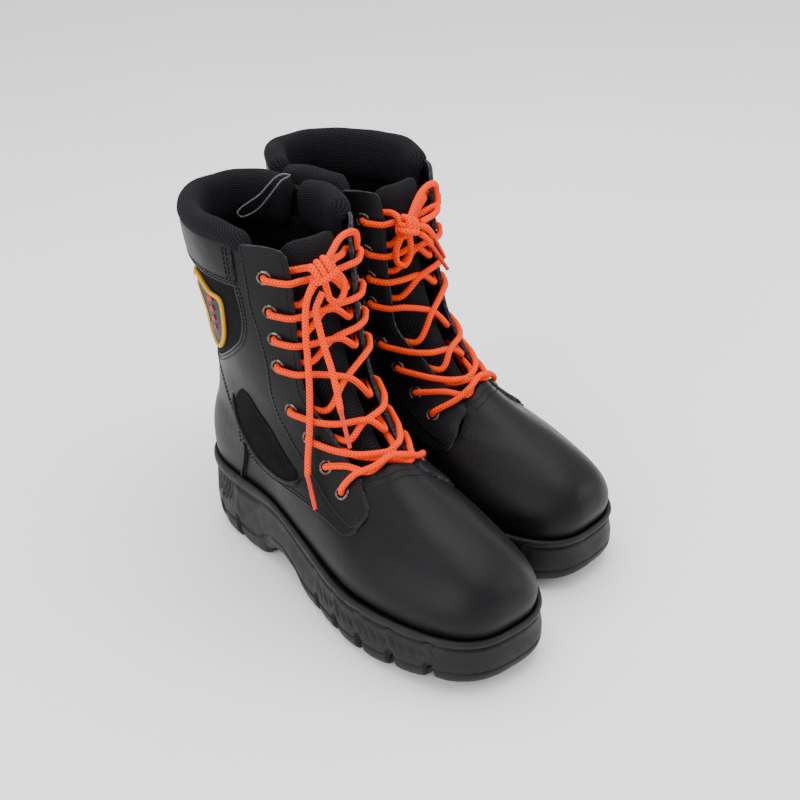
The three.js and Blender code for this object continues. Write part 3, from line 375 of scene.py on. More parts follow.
def blend(xs, ys, x):
    """A smooth curve through the points."""
    xs = np.asarray(xs, float)
    ys = np.asarray(ys, float)
    x = np.asarray(x, float)
    last = len(xs) - 1
    i = np.clip(np.searchsorted(xs, x, side="right") - 1, 0, last - 1)
    slopes = np.array([(ys[min(k + 1, last)] - ys[max(k - 1, 0)]) / (xs[min(k + 1, last)] - xs[max(k - 1, 0)])
                       for k in range(last + 1)])
    gap = xs[i + 1] - xs[i]
    u = (x - xs[i]) / gap
    return ((2 * u ** 3 - 3 * u ** 2 + 1) * ys[i] + (u ** 3 - 2 * u ** 2 + u) * slopes[i] * gap
            + (-2 * u ** 3 + 3 * u ** 2) * ys[i + 1] + (u ** 3 - u ** 2) * slopes[i + 1] * gap)


def smoothstep(v):
    """Eases from 0 to 1 as v does."""
    u = np.clip(v, 0, 1)
    return u * u * (3 - 2 * u)


def half_slice(level, side):
    """One side of a slice from the front to the back, evenly spaced."""
    numbers = range(len(SECTIONS))
    read = lambda pick: float(blend(numbers, [pick(c) for c in SECTIONS], level))
    front = (read(lambda c: c[0][0]), read(lambda c: c[0][1]))
    back = (read(lambda c: c[1][0]), read(lambda c: c[1][1]))
    power = read(lambda c: c[2])
    toe = read(lambda c: c[5])
    widths = [read(lambda c, k=k: c[3 if side < 0 else 4][k]) for k in range(5)]
    u = np.cos(np.linspace(0, np.pi, FINE_STEPS + 1))
    c = (1 + u) / 2
    half = blend(WIDTH_STATIONS, [widths[0], *widths, widths[4]], c) * (1 - np.abs(u) ** power) ** (1 / power)
    fine = np.stack([side * half + toe * c * c, HEEL_Y - (back[0] + (front[0] - back[0]) * c),
                     back[1] + (front[1] - back[1]) * c], axis=1)
    run = np.concatenate([[0], np.cumsum(np.linalg.norm(np.diff(fine, axis=0), axis=1))])
    goal = np.linspace(0, run[-1], COLUMNS)
    return np.stack([np.interp(goal, run, fine[:, k]) for k in range(3)], axis=1)


def make_form():
    """Grid of points and outward normals: rows go up, columns go back (outer) - front - back (inner)."""
    points = np.array([np.concatenate([half_slice(v, -1)[::-1], half_slice(v, 1)[1:]]) for v in LEVELS])
    ring = np.concatenate([points[:, -3:-1], points, points[:, 1:3]], axis=1)
    along = (ring[:, 4:] - ring[:, :-4])
    up = np.gradient(points, axis=0)
    normals = np.cross(along, up)
    normals /= np.linalg.norm(normals, axis=2, keepdims=True)
    return points, normals


FORM, FORM_NORMALS = make_form()
HEIGHTS = FORM[:, :, 2].mean(axis=1)


def sample(grid, t, level):
    """Reads the grid at t, from -1 (back) over 0 (front) to 1 (back, past the inner side), and level."""
    t = (np.asarray(t, float) + 1) % 2
    column = np.clip(t * (COLUMNS - 1), 0, 2 * COLUMNS - 2.001)
    row = np.clip(np.asarray(level, float) / TOP * (ROWS - 1), 0, ROWS - 1.001)
    c0 = column.astype(int)
    r0 = row.astype(int)
    fc = (column - c0)[..., None]
    fr = (row - r0)[..., None]
    low = grid[r0, c0] * (1 - fc) + grid[r0, c0 + 1] * fc
    high = grid[r0 + 1, c0] * (1 - fc) + grid[r0 + 1, c0 + 1] * fc
    return low * (1 - fr) + high * fr


def skin(t, level, lift=0.0):
    """Points on the form, lifted outward by lift."""
    normals = sample(FORM_NORMALS, t, level)
    lift = np.asarray(lift, float)
    return sample(FORM, t, level) + normals * (lift[..., None] if lift.ndim else lift)


def make_finder(axis, first, last):
    """A function that finds (t, level) from a place along the axis and a height, in some of the columns."""
    tree = KDTree((last - first) * ROWS)
    for r in range(ROWS):
        for c in range(first, last):
            p = FORM[r, c]
            tree.insert((p[axis], p[2], 0), r * 2 * COLUMNS + c)
    tree.balance()

    def find(value, z):
        row, column = divmod(tree.find((value, z, 0))[1], 2 * COLUMNS)
        r = min(max(row, 1), ROWS - 2)
        c = min(max(column, 1), 2 * COLUMNS - 3)
        p = FORM[r, c][[axis, 2]]
        dr = (FORM[r + 1, c] - FORM[r - 1, c])[[axis, 2]] / 2
        dc = (FORM[r, c + 1] - FORM[r, c - 1])[[axis, 2]] / 2
        matrix = np.array([dr, dc]).T
        step = np.zeros(2)
        if abs(np.linalg.det(matrix)) > 1e-6:
            step = np.clip(np.linalg.solve(matrix, np.array([value, z]) - p), -1.5, 1.5)
        level = np.clip(r + step[0], 0, ROWS - 1) / (ROWS - 1) * TOP
        return ((c + step[1]) / (COLUMNS - 1) - 1, float(level))

    return find


find_outer = make_finder(1, 0, COLUMNS)
find_inner = make_finder(1, COLUMNS - 1, 2 * COLUMNS - 1)
front = make_finder(0, int(COLUMNS * 0.6), int(COLUMNS * 1.4))


def outer(s, z):
    """The spot on the outer side at s from the heel and height z."""
    return find_outer(HEEL_Y - s, z)


def inner(s, z):
    """The same on the inner side."""
    return find_inner(HEEL_Y - s, z)


def back(z, side=-1):
    """The spot on the heel's middle line, as the end of one side or the other."""
    return (float(side), float(np.interp(z, FORM[:, -1, 2], LEVELS)))


def to_flat(spots):
    """(t, level) spots as millimetres on a flat pattern."""
    return np.array([(t * AROUND, np.interp(level, LEVELS, HEIGHTS)) for t, level in spots])


def from_flat(points):
    """Places on the flat pattern as t and level."""
    points = np.asarray(points)
    return points[:, 0] / AROUND, np.interp(points[:, 1], HEIGHTS, LEVELS)


def spline(points, step, closed=False):
    """A centripetal curve through the points, sampled about every step."""
    points = [np.asarray(p, float) for p in points]
    if len(points) == 2 and not closed:
        count = max(2, int(np.linalg.norm(points[1] - points[0]) / step) + 1)
        return np.array([points[0] + (points[1] - points[0]) * f for f in np.linspace(0, 1, count)])
    if closed:
        padded = [points[-1], *points, points[0], points[1]]
    else:
        padded = [2 * points[0] - points[1], *points, 2 * points[-1] - points[-2]]
    out = []
    for i in range(1, len(padded) - 2):
        p0, p1, p2, p3 = padded[i - 1:i + 3]
        t1 = np.linalg.norm(p1 - p0) ** 0.5 + 1e-9
        t2 = t1 + np.linalg.norm(p2 - p1) ** 0.5 + 1e-9
        t3 = t2 + np.linalg.norm(p3 - p2) ** 0.5 + 1e-9
        count = max(2, int(np.linalg.norm(p2 - p1) / step) + 1)
        for t in np.linspace(t1, t2, count, endpoint=False):
            a1 = (t1 - t) / t1 * p0 + t / t1 * p1
            a2 = (t2 - t) / (t2 - t1) * p1 + (t - t1) / (t2 - t1) * p2
            a3 = (t3 - t) / (t3 - t2) * p2 + (t - t2) / (t3 - t2) * p3
            b1 = (t2 - t) / t2 * a1 + t / t2 * a2
            b2 = (t3 - t) / (t3 - t1) * a2 + (t - t1) / (t3 - t1) * a3
            out.append((t2 - t) / (t2 - t1) * b1 + (t - t1) / (t2 - t1) * b2)
    if not closed:
        out.append(points[-1])
    return np.array(out)


def even(points, step):
    """The polyline sampled at even steps of about that length."""
    points = np.asarray(points)
    run = np.concatenate([[0], np.cumsum(np.linalg.norm(np.diff(points, axis=0), axis=1))])
    goal = np.linspace(0, run[-1], max(2, int(round(run[-1] / step)) + 1))
    return np.stack([np.interp(goal, run, points[:, k]) for k in range(points.shape[1])], axis=1)


# ---- meshes ------------------------------------------------------------------------------------


def add_piece(name, points, faces, material, replaces=None, cloth=None, thick=None, rim=None, bevel=0.0,
              hands=HANDS):
    """Makes the piece for each hand: points in millimetres in the boot's own frame."""
    made = []
    for hand in hands:
        mesh = bpy.data.meshes.new(f"{hand}_{name}_visual")
        placed = [BOOT[hand] @ Vector(p) for p in points]
        turned = [tuple(reversed(f)) for f in faces] if hand == "left" else faces
        mesh.from_pydata(placed, [], turned)
        if cloth is not None:
            layer = mesh.uv_layers.new(name="cloth")
            corners = np.empty(len(mesh.loops), int)
            mesh.loops.foreach_get("vertex_index", corners)
            layer.data.foreach_set("uv", np.asarray(cloth, float)[corners].ravel())
        mesh.materials.append(material)
        if rim is not None:
            mesh.materials.append(rim)
        mesh.polygons.foreach_set("use_smooth", [True] * len(mesh.polygons))
        piece = bpy.data.objects.new(f"{hand}_{name}_visual", mesh)
        bpy.context.collection.objects.link(piece)
        if thick:
            solid = piece.modifiers.new("thickness", "SOLIDIFY")
            solid.thickness = thick * MM
            solid.offset = -1
            if rim is not None:
                solid.material_offset_rim = 1
        if bevel:
            edge = piece.modifiers.new("edges", "BEVEL")
            edge.width = bevel * MM
            edge.segments = 2
            edge.limit_method = "ANGLE"
            edge.angle_limit = math.radians(50)
            edge.use_clamp_overlap = True
        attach(piece, f"{hand}_boot")
        if replaces:
            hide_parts(f"{hand}_{replaces}")
        made.append(piece)
    return made


SAME_POINT = 0.05                # ends of two runs that are nearer than this are one point


def outline_of(runs, step=1.6):
    """Joins runs of (t, level) points, each a smooth curve, with corners between them."""
    points = []
    for run in runs:
        curve = spline(to_flat(run), step)
        meets = points and np.linalg.norm(points[-1] - curve[0]) <= SAME_POINT
        points.extend(curve[1:] if meets else curve)
    if np.linalg.norm(points[0] - points[-1]) < SAME_POINT:
        points.pop()
    return np.array(points)


def inside(points, outline):
    """Which of the points lie inside the outline."""
    x, y = points[:, 0][:, None], points[:, 1][:, None]
    x1, y1 = outline[:, 0], outline[:, 1]
    x2, y2 = np.roll(x1, -1), np.roll(y1, -1)
    crosses = ((y1 > y) != (y2 > y)) & (x < (x2 - x1) * (y - y1) / (y2 - y1 + 1e-12) + x1)
    return crosses.sum(axis=1) % 2 == 1


def triangulate(outline, spacing):
    """Fills the outline with near-even triangles, about spacing apart."""
    low, high = outline.min(axis=0), outline.max(axis=0)
    xs = np.arange(low[0], high[0], spacing)
    ys = np.arange(low[1], high[1], spacing * 0.87)
    grid = np.array([(x + (spacing / 2 if j % 2 else 0), y) for j, y in enumerate(ys) for x in xs])
    grid = grid[inside(grid, outline)]
    tree = KDTree(len(outline))
    for i, p in enumerate(outline):
        tree.insert((p[0], p[1], 0), i)
    tree.balance()
    grid = [p for p in grid if tree.find((p[0], p[1], 0))[2] > spacing * 0.55]
    corners = [Vector(p) for p in outline] + [Vector(p) for p in grid]
    loop = list(range(len(outline)))
    points, _, faces, _, _, _ = delaunay_2d_cdt(corners, [], [loop], 1, 1e-5)
    return np.array([tuple(p) for p in points]), [tuple(f) for f in faces]


def panel(name, runs, lift, thick, material=LEATHER, spacing=2.6, replaces=None, bevel=0.5, rim=EDGE,
          shape=None):
    """A cut panel that lies on the form, its outer face lifted by lift."""
    outline = outline_of(runs)
    flat, faces = triangulate(outline, spacing)
    t, level = from_flat(flat)
    rise = np.full(len(flat), float(lift))
    if shape is not None:
        rise = rise + shape(flat)
    points = skin(t, level, rise)
    a, b, c = faces[0][:3]
    facing = np.cross(points[b] - points[a], points[c] - points[a])
    if np.dot(facing, sample(FORM_NORMALS, t[a], level[a])) < 0:
        faces = [tuple(reversed(f)) for f in faces]
    return add_piece(name, points, faces, material, replaces, cloth=flat, thick=thick, rim=rim, bevel=bevel)


def ring_tube(path, radius, sides=12, braid=0.0):
    """A tube along the path with its cloth coordinates; braid is how far the yarns stand out."""
    path = np.asarray(path, float)
    tangents = np.gradient(path, axis=0)
    tangents /= np.linalg.norm(tangents, axis=1, keepdims=True) + 1e-12
    normal = np.cross(tangents[0], (0.31, 0.2, 0.93))
    normal /= np.linalg.norm(normal)
    radius = np.broadcast_to(np.asarray(radius, float), (len(path),))
    run = np.concatenate([[0], np.cumsum(np.linalg.norm(np.diff(path, axis=0), axis=1))])
    points, cloth, faces = [], [], []
    angles = np.arange(sides) * math.tau / sides
    for i, p in enumerate(path):
        normal = normal - tangents[i] * np.dot(normal, tangents[i])
        normal /= np.linalg.norm(normal) + 1e-12
        side = np.cross(tangents[i], normal)
        turn = run[i] * math.tau / BRAID_PITCH
        yarn = np.maximum(np.sin(turn + BRAID_PAIRS * angles), np.sin(turn - BRAID_PAIRS * angles))
        reach = radius[i] * (1 + braid * (yarn - 0.6))
        points.extend(p + normal * (np.cos(a) * r) + side * (np.sin(a) * r) for a, r in zip(angles, reach))
        cloth.extend((run[i], a) for a in angles)
    for i in range(len(path) - 1):
        for j in range(sides):
            k = (j + 1) % sides
            a, b = i * sides, (i + 1) * sides
            faces.append((a + j, a + k, b + k, b + j))
    faces.append(tuple(range(sides))[::-1])
    last = (len(path) - 1) * sides
    faces.append(tuple(last + j for j in range(sides)))
    return points, faces, cloth


def merged(parts):
    """Several (points, faces, cloth) as one."""
    points, faces, cloth = [], [], []
    for p, f, c in parts:
        base = len(points)
        points.extend(p)
        cloth.extend(c)
        faces.extend(tuple(base + i for i in face) for face in f)
    return points, faces, cloth


# ---- cords -------------------------------------------------------------------------------------
# Routes in the boot's own frame (x, s, z), as in the solid model.
LACE = 4.4
LACE_SIDES = 20
LACE_RELIEF = 0.03               # how far the yarns stand out, as a share of the radius
SQUEEZED = 1.15                  # radius of the lace inside its tip
TAIL_STEP = 0.7
AGLET = 3.0
TIE_CORD = 1.2
KNOT = {"right": (-9, 147, 230), "left": (17, 148, 222)}
TAILS = {
    "right": [
        [(-16.9, 149, 224.4), (-20.5, 149, 219), (-23, 148, 210), (-24.5, 147.5, 191), (-25.5, 149, 176),
         (-28, 152, 158), (-31, 154, 138), (-34, 155.5, 123), (-37, 157, 111), (-41, 161.5, 102)],
        [(-12, 151.5, 218.5), (-15.5, 151.5, 213.5), (-17.5, 150.5, 208), (-17, 152, 196), (-16, 154.5, 183),
         (-15, 159, 169), (-16, 165, 155), (-18, 170.5, 144)],
    ],
    "left": [
        [(8.1, 151.7, 221.2), (2, 152.5, 218), (-6, 152, 208)],
        [(9, 153.0, 216), (4, 153.5, 211.5), (-1, 154, 204)],
    ],
}
TIPS = {
    "right": [(-48, 178.5, 88), (-21, 182.5, 124)],
    "left": [(-18, 150, 189), (-12, 158.5, 184)],
}
TIE_LOOP = [(36, 49, 256.4), (33, 46, 257.4), (28, 43.5, 256), (23, 40, 250.5), (18, 36, 244),
            (12.5, 31, 239), (7.5, 27.3, 235), (4.5, 26.7, 232), (6.5, 27.7, 229), (12, 31.4, 230.5),
            (16.5, 36.4, 235), (20, 42, 242), (24, 47, 249.5), (28, 50, 255), (33, 52, 257.2)]


def own(x, s, z):
    """A point given by its distance s from the heel, in the boot's own frame."""
    return np.array((x, HEEL_Y - s, z), float)


def length_of(path):
    return float(np.linalg.norm(np.diff(np.asarray(path), axis=0), axis=1).sum())


def make_tails():
    """Free ends of the lace; the cord runs on, squeezed thin, inside its shrunk tip."""
    for hand in HANDS:
        for n, route in enumerate(TAILS[hand]):
            letter = "ab"[n]
            free = spline([own(*p) for p in route], 0.5)
            end = free[-1]
            far = own(*TIPS[hand][n])
            onward = far - end
            onward /= np.linalg.norm(onward)
            path = even(np.vstack([free, even([end + onward, far - onward * 2], 1.0)]), TAIL_STEP)
            run = np.arange(len(path)) * TAIL_STEP - length_of(free)
            radius = LACE / 2 - (LACE / 2 - SQUEEZED) * smoothstep((run + 2.0) / 2.5)
            points, faces, cloth = ring_tube(path, radius, LACE_SIDES, LACE_RELIEF)
            piece, = add_piece(f"lace_tail_{letter}", points, faces, CORD, f"lace_tail_{letter}", cloth=cloth,
                               hands=(hand,))
            tip_path = even([end - onward * 1.2, far], 0.8)
            run = np.linspace(0, 1, len(tip_path))
            flared = 1 + 0.45 * np.exp(-run * 14) + 0.03 * np.sin(run * 40)
            radius = AGLET / 2 * flared * (1 - 0.12 * run ** 8)
            points, faces, _ = ring_tube(tip_path, radius, 14)
            tip, = add_piece(f"lace_tip_{letter}", points, faces, TIP, f"lace_tip_{letter}", hands=(hand,))


def make_tie_loop():
    """Thin grey cord tied at the zip's top, looped over the right boot's collar."""
    path = even(spline([own(*p) for p in TIE_LOOP], 0.3), 0.6)
    points, faces, _ = ring_tube(path, TIE_CORD / 2, 8)
    piece, = add_piece("tie_loop", points, faces, TIE_THREAD, "tie_loop", hands=("right",))


make_tails()
make_tie_loop()

# ---- pattern lines -----------------------------------------------------------------------------
EYELETS = [(122, 226), (123, 203), (124, 184), (125, 165), (133, 135), (147, 119), (164, 104), (183, 94)]
OPENING_SIDE = [(18, 103), (19, 117), (20, 127), (23, 137), (25, 148), (24, 168), (23, 203), (23, 228),
                (24, 239)]
FACING_BACK = [(109, 246), (110, 217), (110, 205), (113, 186), (116, 162), (116, 141), (121, 126), (129, 116),
               (143, 104), (157, 96), (175, 88), (191, 83), (201, 81)]
LOWER_EDGE = [(80, 84), (92, 78), (112, 77), (140, 79), (164, 79), (183, 78), (199, 76)]
COUNTER_LINE = [(12, 141), (30, 139), (44, 132), (57, 117), (66, 108), (77, 95)]
WINDOW_LINE = [(101, 216), (102, 200), (101, 188), (96, 177), (85, 167), (67, 155), (44, 143), (30, 140)]
INSERT_LEAF = [(78, 130), (83, 133), (90, 132), (101, 123), (113, 115), (132, 100), (144, 94), (145, 90),
               (140, 88), (127, 85), (108, 85), (91, 89), (78, 96), (71, 107), (70, 120)]
BADGE = [(56, 213), (73, 205), (85, 203), (84, 186), (76, 169), (56, 156), (36, 169), (28, 186), (27, 203),
         (39, 205)]
ZIP_TOP = (50, 243)
ZIP_BOTTOM = (57, 140)
ZIP_HALF_GAP = 5.3
LEATHER_GAP = ZIP_HALF_GAP + 1.0     # from the zip's middle to the edge of the leather
SIDES = {-1: outer, 1: inner}


def edge_half_width(z):
    """Half the width of the opening between the facings at a height."""
    return float(blend([p[1] for p in OPENING_SIDE], [p[0] for p in OPENING_SIDE],
                       min(max(z, OPENING_SIDE[0][1]), OPENING_SIDE[-1][1])))


def on(side, line):
    """The line of (s, z) points laid on one side of the form."""
    return [SIDES[side](s, z) for s, z in line]


def moved(spots, up):
    """The line moved up the form by a distance."""
    flat = to_flat(spots)
    flat[:, 1] += up
    t, level = from_flat(flat)
    return list(zip(t, level))


def opening_edge(side):
    """The front edge of a quarter, beside the tongue."""
    return [front(side * x, z) for x, z in OPENING_SIDE]


# ---- stitching ---------------------------------------------------------------------------------
STITCH = 2.3
STITCH_PITCH = 3.0
THREAD_RADIUS, THREAD_DIP = 0.36, 0.12
stitches = []


def sew(spots, lift, shift=0.0):
    """A row of stitches along (t, level) spots; shift moves it to the left of its way on the pattern."""
    flat = even(spline(to_flat(spots), 0.8), 0.8)
    if shift:
        along = np.gradient(flat, axis=0)
        along /= np.linalg.norm(along, axis=1, keepdims=True)
        flat = flat + np.stack([-along[:, 1], along[:, 0]], axis=1) * shift
    t, level = from_flat(flat)
    path = even(skin(t, level, lift), 0.5)
    count = int(length_of(path) / STITCH_PITCH)
    step = len(path) / max(count, 1)
    for i in range(count):
        a = path[min(int(i * step), len(path) - 1)]
        b = path[min(int((i + STITCH / STITCH_PITCH) * step), len(path) - 1)]
        if np.linalg.norm(b - a) < 0.4:
            continue
        run = [a, a + (b - a) * 0.2, a + (b - a) * 0.8, b]
        stitches.append(ring_tube(run, np.array([THREAD_DIP, THREAD_RADIUS, THREAD_RADIUS, THREAD_DIP]), 6))


# ---- the upper ---------------------------------------------------------------------------------
VAMP_LIFT, COUNTER_LIFT, QUARTER_LIFT, FACING_LIFT = 0.0, 0.9, 1.0, 2.0
FOOT_LEVEL = 0.15


def make_vamp():
    """Leather over the toes and instep, up to the foot of the facings."""
    outer_edge = on(-1, [(70, 52), (76, 74), (80, 86)])
    outer_top = moved(on(-1, LOWER_EDGE[1:]), 3)
    throat = [front(-22, 98), front(-18, 103.5), front(-10, 109), front(0, 112), front(10, 109),
              front(18, 103.5), front(22, 98)]
    inner_top = moved(on(1, LOWER_EDGE[1:]), 3)[::-1]
    inner_edge = on(1, [(80, 86), (76, 74), (70, 52)])
    low_outer = (outer_edge[0][0], FOOT_LEVEL)
    low_inner = (inner_edge[-1][0], FOOT_LEVEL)
    bottom = [(low_inner[0] + (low_outer[0] - low_inner[0]) * f, FOOT_LEVEL) for f in np.linspace(0, 1, 9)]
    panel("vamp", [[low_outer, *outer_edge], [outer_edge[-1], *outer_top], [outer_top[-1], *throat],
                   [throat[-1], *inner_top], [inner_top[-1], *inner_edge, low_inner], bottom],
          VAMP_LIFT, 1.9, spacing=2.4, replaces="vamp")
    rows = [front(x, z) for x, z in [(-17, 103.5), (-10, 107.5), (0, 110), (10, 107.5), (17, 103.5)]]
    for shift in (-1.0, -3.2):
        sew(rows, VAMP_LIFT + 0.15, shift)


def make_counter():
    """Leather round the heel, in one piece from the outer seam to the inner seam."""
    line_out = on(-1, COUNTER_LINE + [(80, 86)])
    line_in = on(1, COUNTER_LINE + [(80, 86)])
    seam_out = on(-1, [(80, 86), (77, 72), (71, 52)])
    seam_in = on(1, [(80, 86), (77, 72), (71, 52)])
    wrap = lambda spots: [(t - 2 if t > 0 else t, level) for t, level in spots]
    top = [*line_out[::-1], (-1.0, back(141)[1]), *wrap(line_in)]
    low_out = (seam_out[-1][0], FOOT_LEVEL)
    low_in = (wrap(seam_in)[-1][0], FOOT_LEVEL)
    bottom = [(low_in[0] + (low_out[0] - low_in[0]) * f, FOOT_LEVEL) for f in np.linspace(0, 1, 7)]
    panel("heel_counter", [top, [*wrap(seam_in), low_in], bottom, [low_out, *seam_out[::-1]]],
          COUNTER_LIFT, 1.8, spacing=2.6, replaces="heel_counter")
    for shift in (1.6, 3.8):
        sew(top, COUNTER_LIFT + 0.15, shift)


def make_quarter(side):
    """The quarter's leather; on the inner side it is split by the zip."""
    lower = on(side, LOWER_EDGE)
    corner = on(side, [(199, 76), (206, 79), (207, 84)])
    foot = [corner[-1], SIDES[side](204, 92), front(side * 20, 100), front(side * 18, 103)]
    opening = opening_edge(side)
    peak = [opening[-1], SIDES[side](130, 243), SIDES[side](122, 246), SIDES[side](112, 246.5)]
    if side < 0:
        window = on(side, WINDOW_LINE)
        top_corner = SIDES[side](103, 246)
        rear = on(side, [(30, 138), (44, 131), (57, 116), (66, 107), (77, 94), (80, 84)])
        runs = [lower, corner, foot, opening, peak, [peak[-1], top_corner], [top_corner, *window],
                [window[-1], rear[0]], rear]
        panel("quarter_lateral", runs, QUARTER_LIFT, 1.9, replaces="quarter_lateral")
        for shift in (1.6, 3.8):
            sew(window, QUARTER_LIFT + 0.15, shift)
    else:
        zip_edge = [SIDES[side](ZIP_BOTTOM[0] + LEATHER_GAP - 1, ZIP_BOTTOM[1] - 6),
                    SIDES[side](ZIP_BOTTOM[0] + LEATHER_GAP, ZIP_BOTTOM[1]),
                    SIDES[side](ZIP_TOP[0] + LEATHER_GAP, 246)]
        runs = [lower, corner, foot, opening, peak, [peak[-1], zip_edge[-1]], zip_edge[::-1],
                [zip_edge[0], SIDES[side](61, 112)], on(side, [(61, 112), (66, 107), (77, 94), (80, 84)])]
        panel("quarter_medial_front", runs, QUARTER_LIFT, 1.9, replaces="quarter_medial_front")
        for shift in (-1.6, -3.6):
            sew(zip_edge[::-1], QUARTER_LIFT + 0.15, shift)
    for shift in (1.4, 3.6):
        sew([*lower, *corner[1:]], QUARTER_LIFT + 0.15, -side * shift)


def make_medial_rear():
    """Inner quarter behind the zip; it runs a little way round the heel."""
    zip_edge = [inner(ZIP_BOTTOM[0] - LEATHER_GAP + 1, ZIP_BOTTOM[1] - 6),
                inner(ZIP_BOTTOM[0] - LEATHER_GAP, ZIP_BOTTOM[1]), inner(ZIP_TOP[0] - LEATHER_GAP, 219)]
    low = [inner(60, 112), inner(55, 118), inner(44, 130), inner(30, 137), inner(12, 139), back(139, 1),
           (1.055, back(139)[1])]
    top = [(1.055, back(219)[1]), back(219, 1), inner(20, 219), zip_edge[-1]]
    panel("quarter_medial_rear", [low, [low[-1], top[0]], top, zip_edge[::-1], [zip_edge[0], low[0]]],
          QUARTER_LIFT - 0.4, 1.8, replaces="quarter_medial_rear")
    sew(zip_edge, QUARTER_LIFT - 0.25, -1.6)
    for t in (1.045, 0.975):
        sew([(t, back(z)[1]) for z in (142, 180, 216)], QUARTER_LIFT - 0.25)


def make_facings():
    """The eyelet facing sewn over each quarter."""
    for side, name in ((-1, "outer"), (1, "inner")):
        rear = on(side, FACING_BACK)
        corner = [rear[-1], SIDES[side](206.5, 83), SIDES[side](204.5, 91), front(side * 20, 100)]
        opening = [front(side * x, z) for x, z in OPENING_SIDE[1:]]
        peak = [opening[-1], SIDES[side](130, 243.5), SIDES[side](122, 246.5), rear[0]]
        panel(f"facing_{name}", [rear, corner, [corner[-1], *opening], peak], FACING_LIFT, 1.5, spacing=2.4)
        sew(rear, FACING_LIFT + 0.15, 1.6 * -side)
        sew(opening, FACING_LIFT + 0.15, 3.2 * -side)
        sew([rear[-1], SIDES[side](204.5, 85), SIDES[side](202.5, 91)], FACING_LIFT + 0.15)


def make_rear_panel():
    """Twill window of the outer side, and the leather strap down the heel's middle."""
    low = [*on(-1, [(104, 200), (103, 187), (98, 175), (86, 164), (67, 152), (44, 138), (30, 135),
                    (12, 136)]), back(136)]
    top = [back(222), *on(-1, [(12, 222), (50, 222), (104, 222)])]
    panel("back_panel", [[top[-1], *low], [low[-1], top[0]], top], 0.1, 1.4, TWILL, spacing=3.0, rim=None,
          replaces="back_panel", bevel=0)
    panel("back_strap", [[(-0.952, back(138)[1]), (-0.955, back(180)[1]), (-0.958, back(219)[1])],
                         [(-0.958, back(219)[1]), (-1.03, back(219)[1])],
                         [(-1.03, back(219)[1]), (-1.03, back(138)[1])],
                         [(-1.03, back(138)[1]), (-0.952, back(138)[1])]], 0.95, 1.5)
    sew([(-0.964, back(142)[1]), (-0.968, back(216)[1])], 1.1)


def make_band():
    """Leather band round the top of the shaft, bulged by the foam under it."""
    low_out = on(-1, [(104, 216.5), (75, 217.5), (45, 219), (15, 219)])
    low_in = [(t - 2, level) for t, level in [inner(15, 219), inner(ZIP_TOP[0] - LEATHER_GAP, 219)]]
    top_in = [(t - 2, level) for t, level in [inner(ZIP_TOP[0] - LEATHER_GAP, 247), inner(15, 247)]]
    top_out = on(-1, [(15, 247), (45, 247), (75, 247), (104, 246)])
    low = [*low_out, back(219), *low_in]
    top = [*top_in, back(247), *top_out]
    panel("collar_band", [low, [low[-1], top[0]], top, [top[-1], low[0]]], QUARTER_LIFT + 0.7, 2.0,
          replaces="collar_band",
          shape=lambda flat: 1.2 * np.sin(np.pi * np.clip((flat[:, 1] - 217) / 31, 0, 1)) ** 0.6)
    sew(low, QUARTER_LIFT + 1.45, -2.0)
    sew(low, QUARTER_LIFT + 1.7, -4.4)
    for s in (101.0, 98.5):
        sew(on(-1, [(s, 222), (s, 244)]), QUARTER_LIFT + 2.1)


def make_insert():
    """Napped leaf under the ankle, the piping below it, and the piping of both side seams."""
    leaf = spline(to_flat(on(-1, INSERT_LEAF)), 2.0, closed=True)
    spots = list(zip(*from_flat(leaf)))
    panel("side_insert", [spots + [spots[0]]], QUARTER_LIFT + 0.35, 1.0, NUBUCK, spacing=2.4, rim=NUBUCK,
          replaces="side_insert", bevel=0.3)
    piping = on(-1, [(66, 122), (67, 112), (69, 105), (75, 98), (82, 93), (99, 85), (118, 83.5), (136, 85),
                     (144, 88), (148, 92)])
    flat = even(spline(to_flat(piping), 1.0), 1.0)
    path = skin(*from_flat(flat), QUARTER_LIFT + 0.5)
    taper = np.clip(np.minimum(np.arange(len(path)), np.arange(len(path))[::-1]) / 6, 0.25, 1)
    points, faces, _ = ring_tube(path, 1.5 * taper, 12)
    add_piece("insert_piping", points, faces, LEATHER)
    seams = []
    for side in (-1, 1):
        seam = on(side, [(79, 88), (77, 76), (72, 62), (70, 52)])
        path = skin(*from_flat(even(spline(to_flat(seam), 1.0), 1.0)), COUNTER_LIFT + 0.4)
        seams.append(ring_tube(path, 1.3, 10))
    points, faces, _ = merged(seams)
    add_piece("seam_piping", points, faces, LEATHER)
    sew(on(-1, [(85, 130), (92, 129), (101, 120), (113, 112), (131, 98), (141, 92)]), QUARTER_LIFT + 0.5)
    sew(on(-1, [(66, 112), (70, 101), (82, 90), (99, 82), (118, 80.5), (137, 82), (149, 88)]),
        QUARTER_LIFT + 0.15)


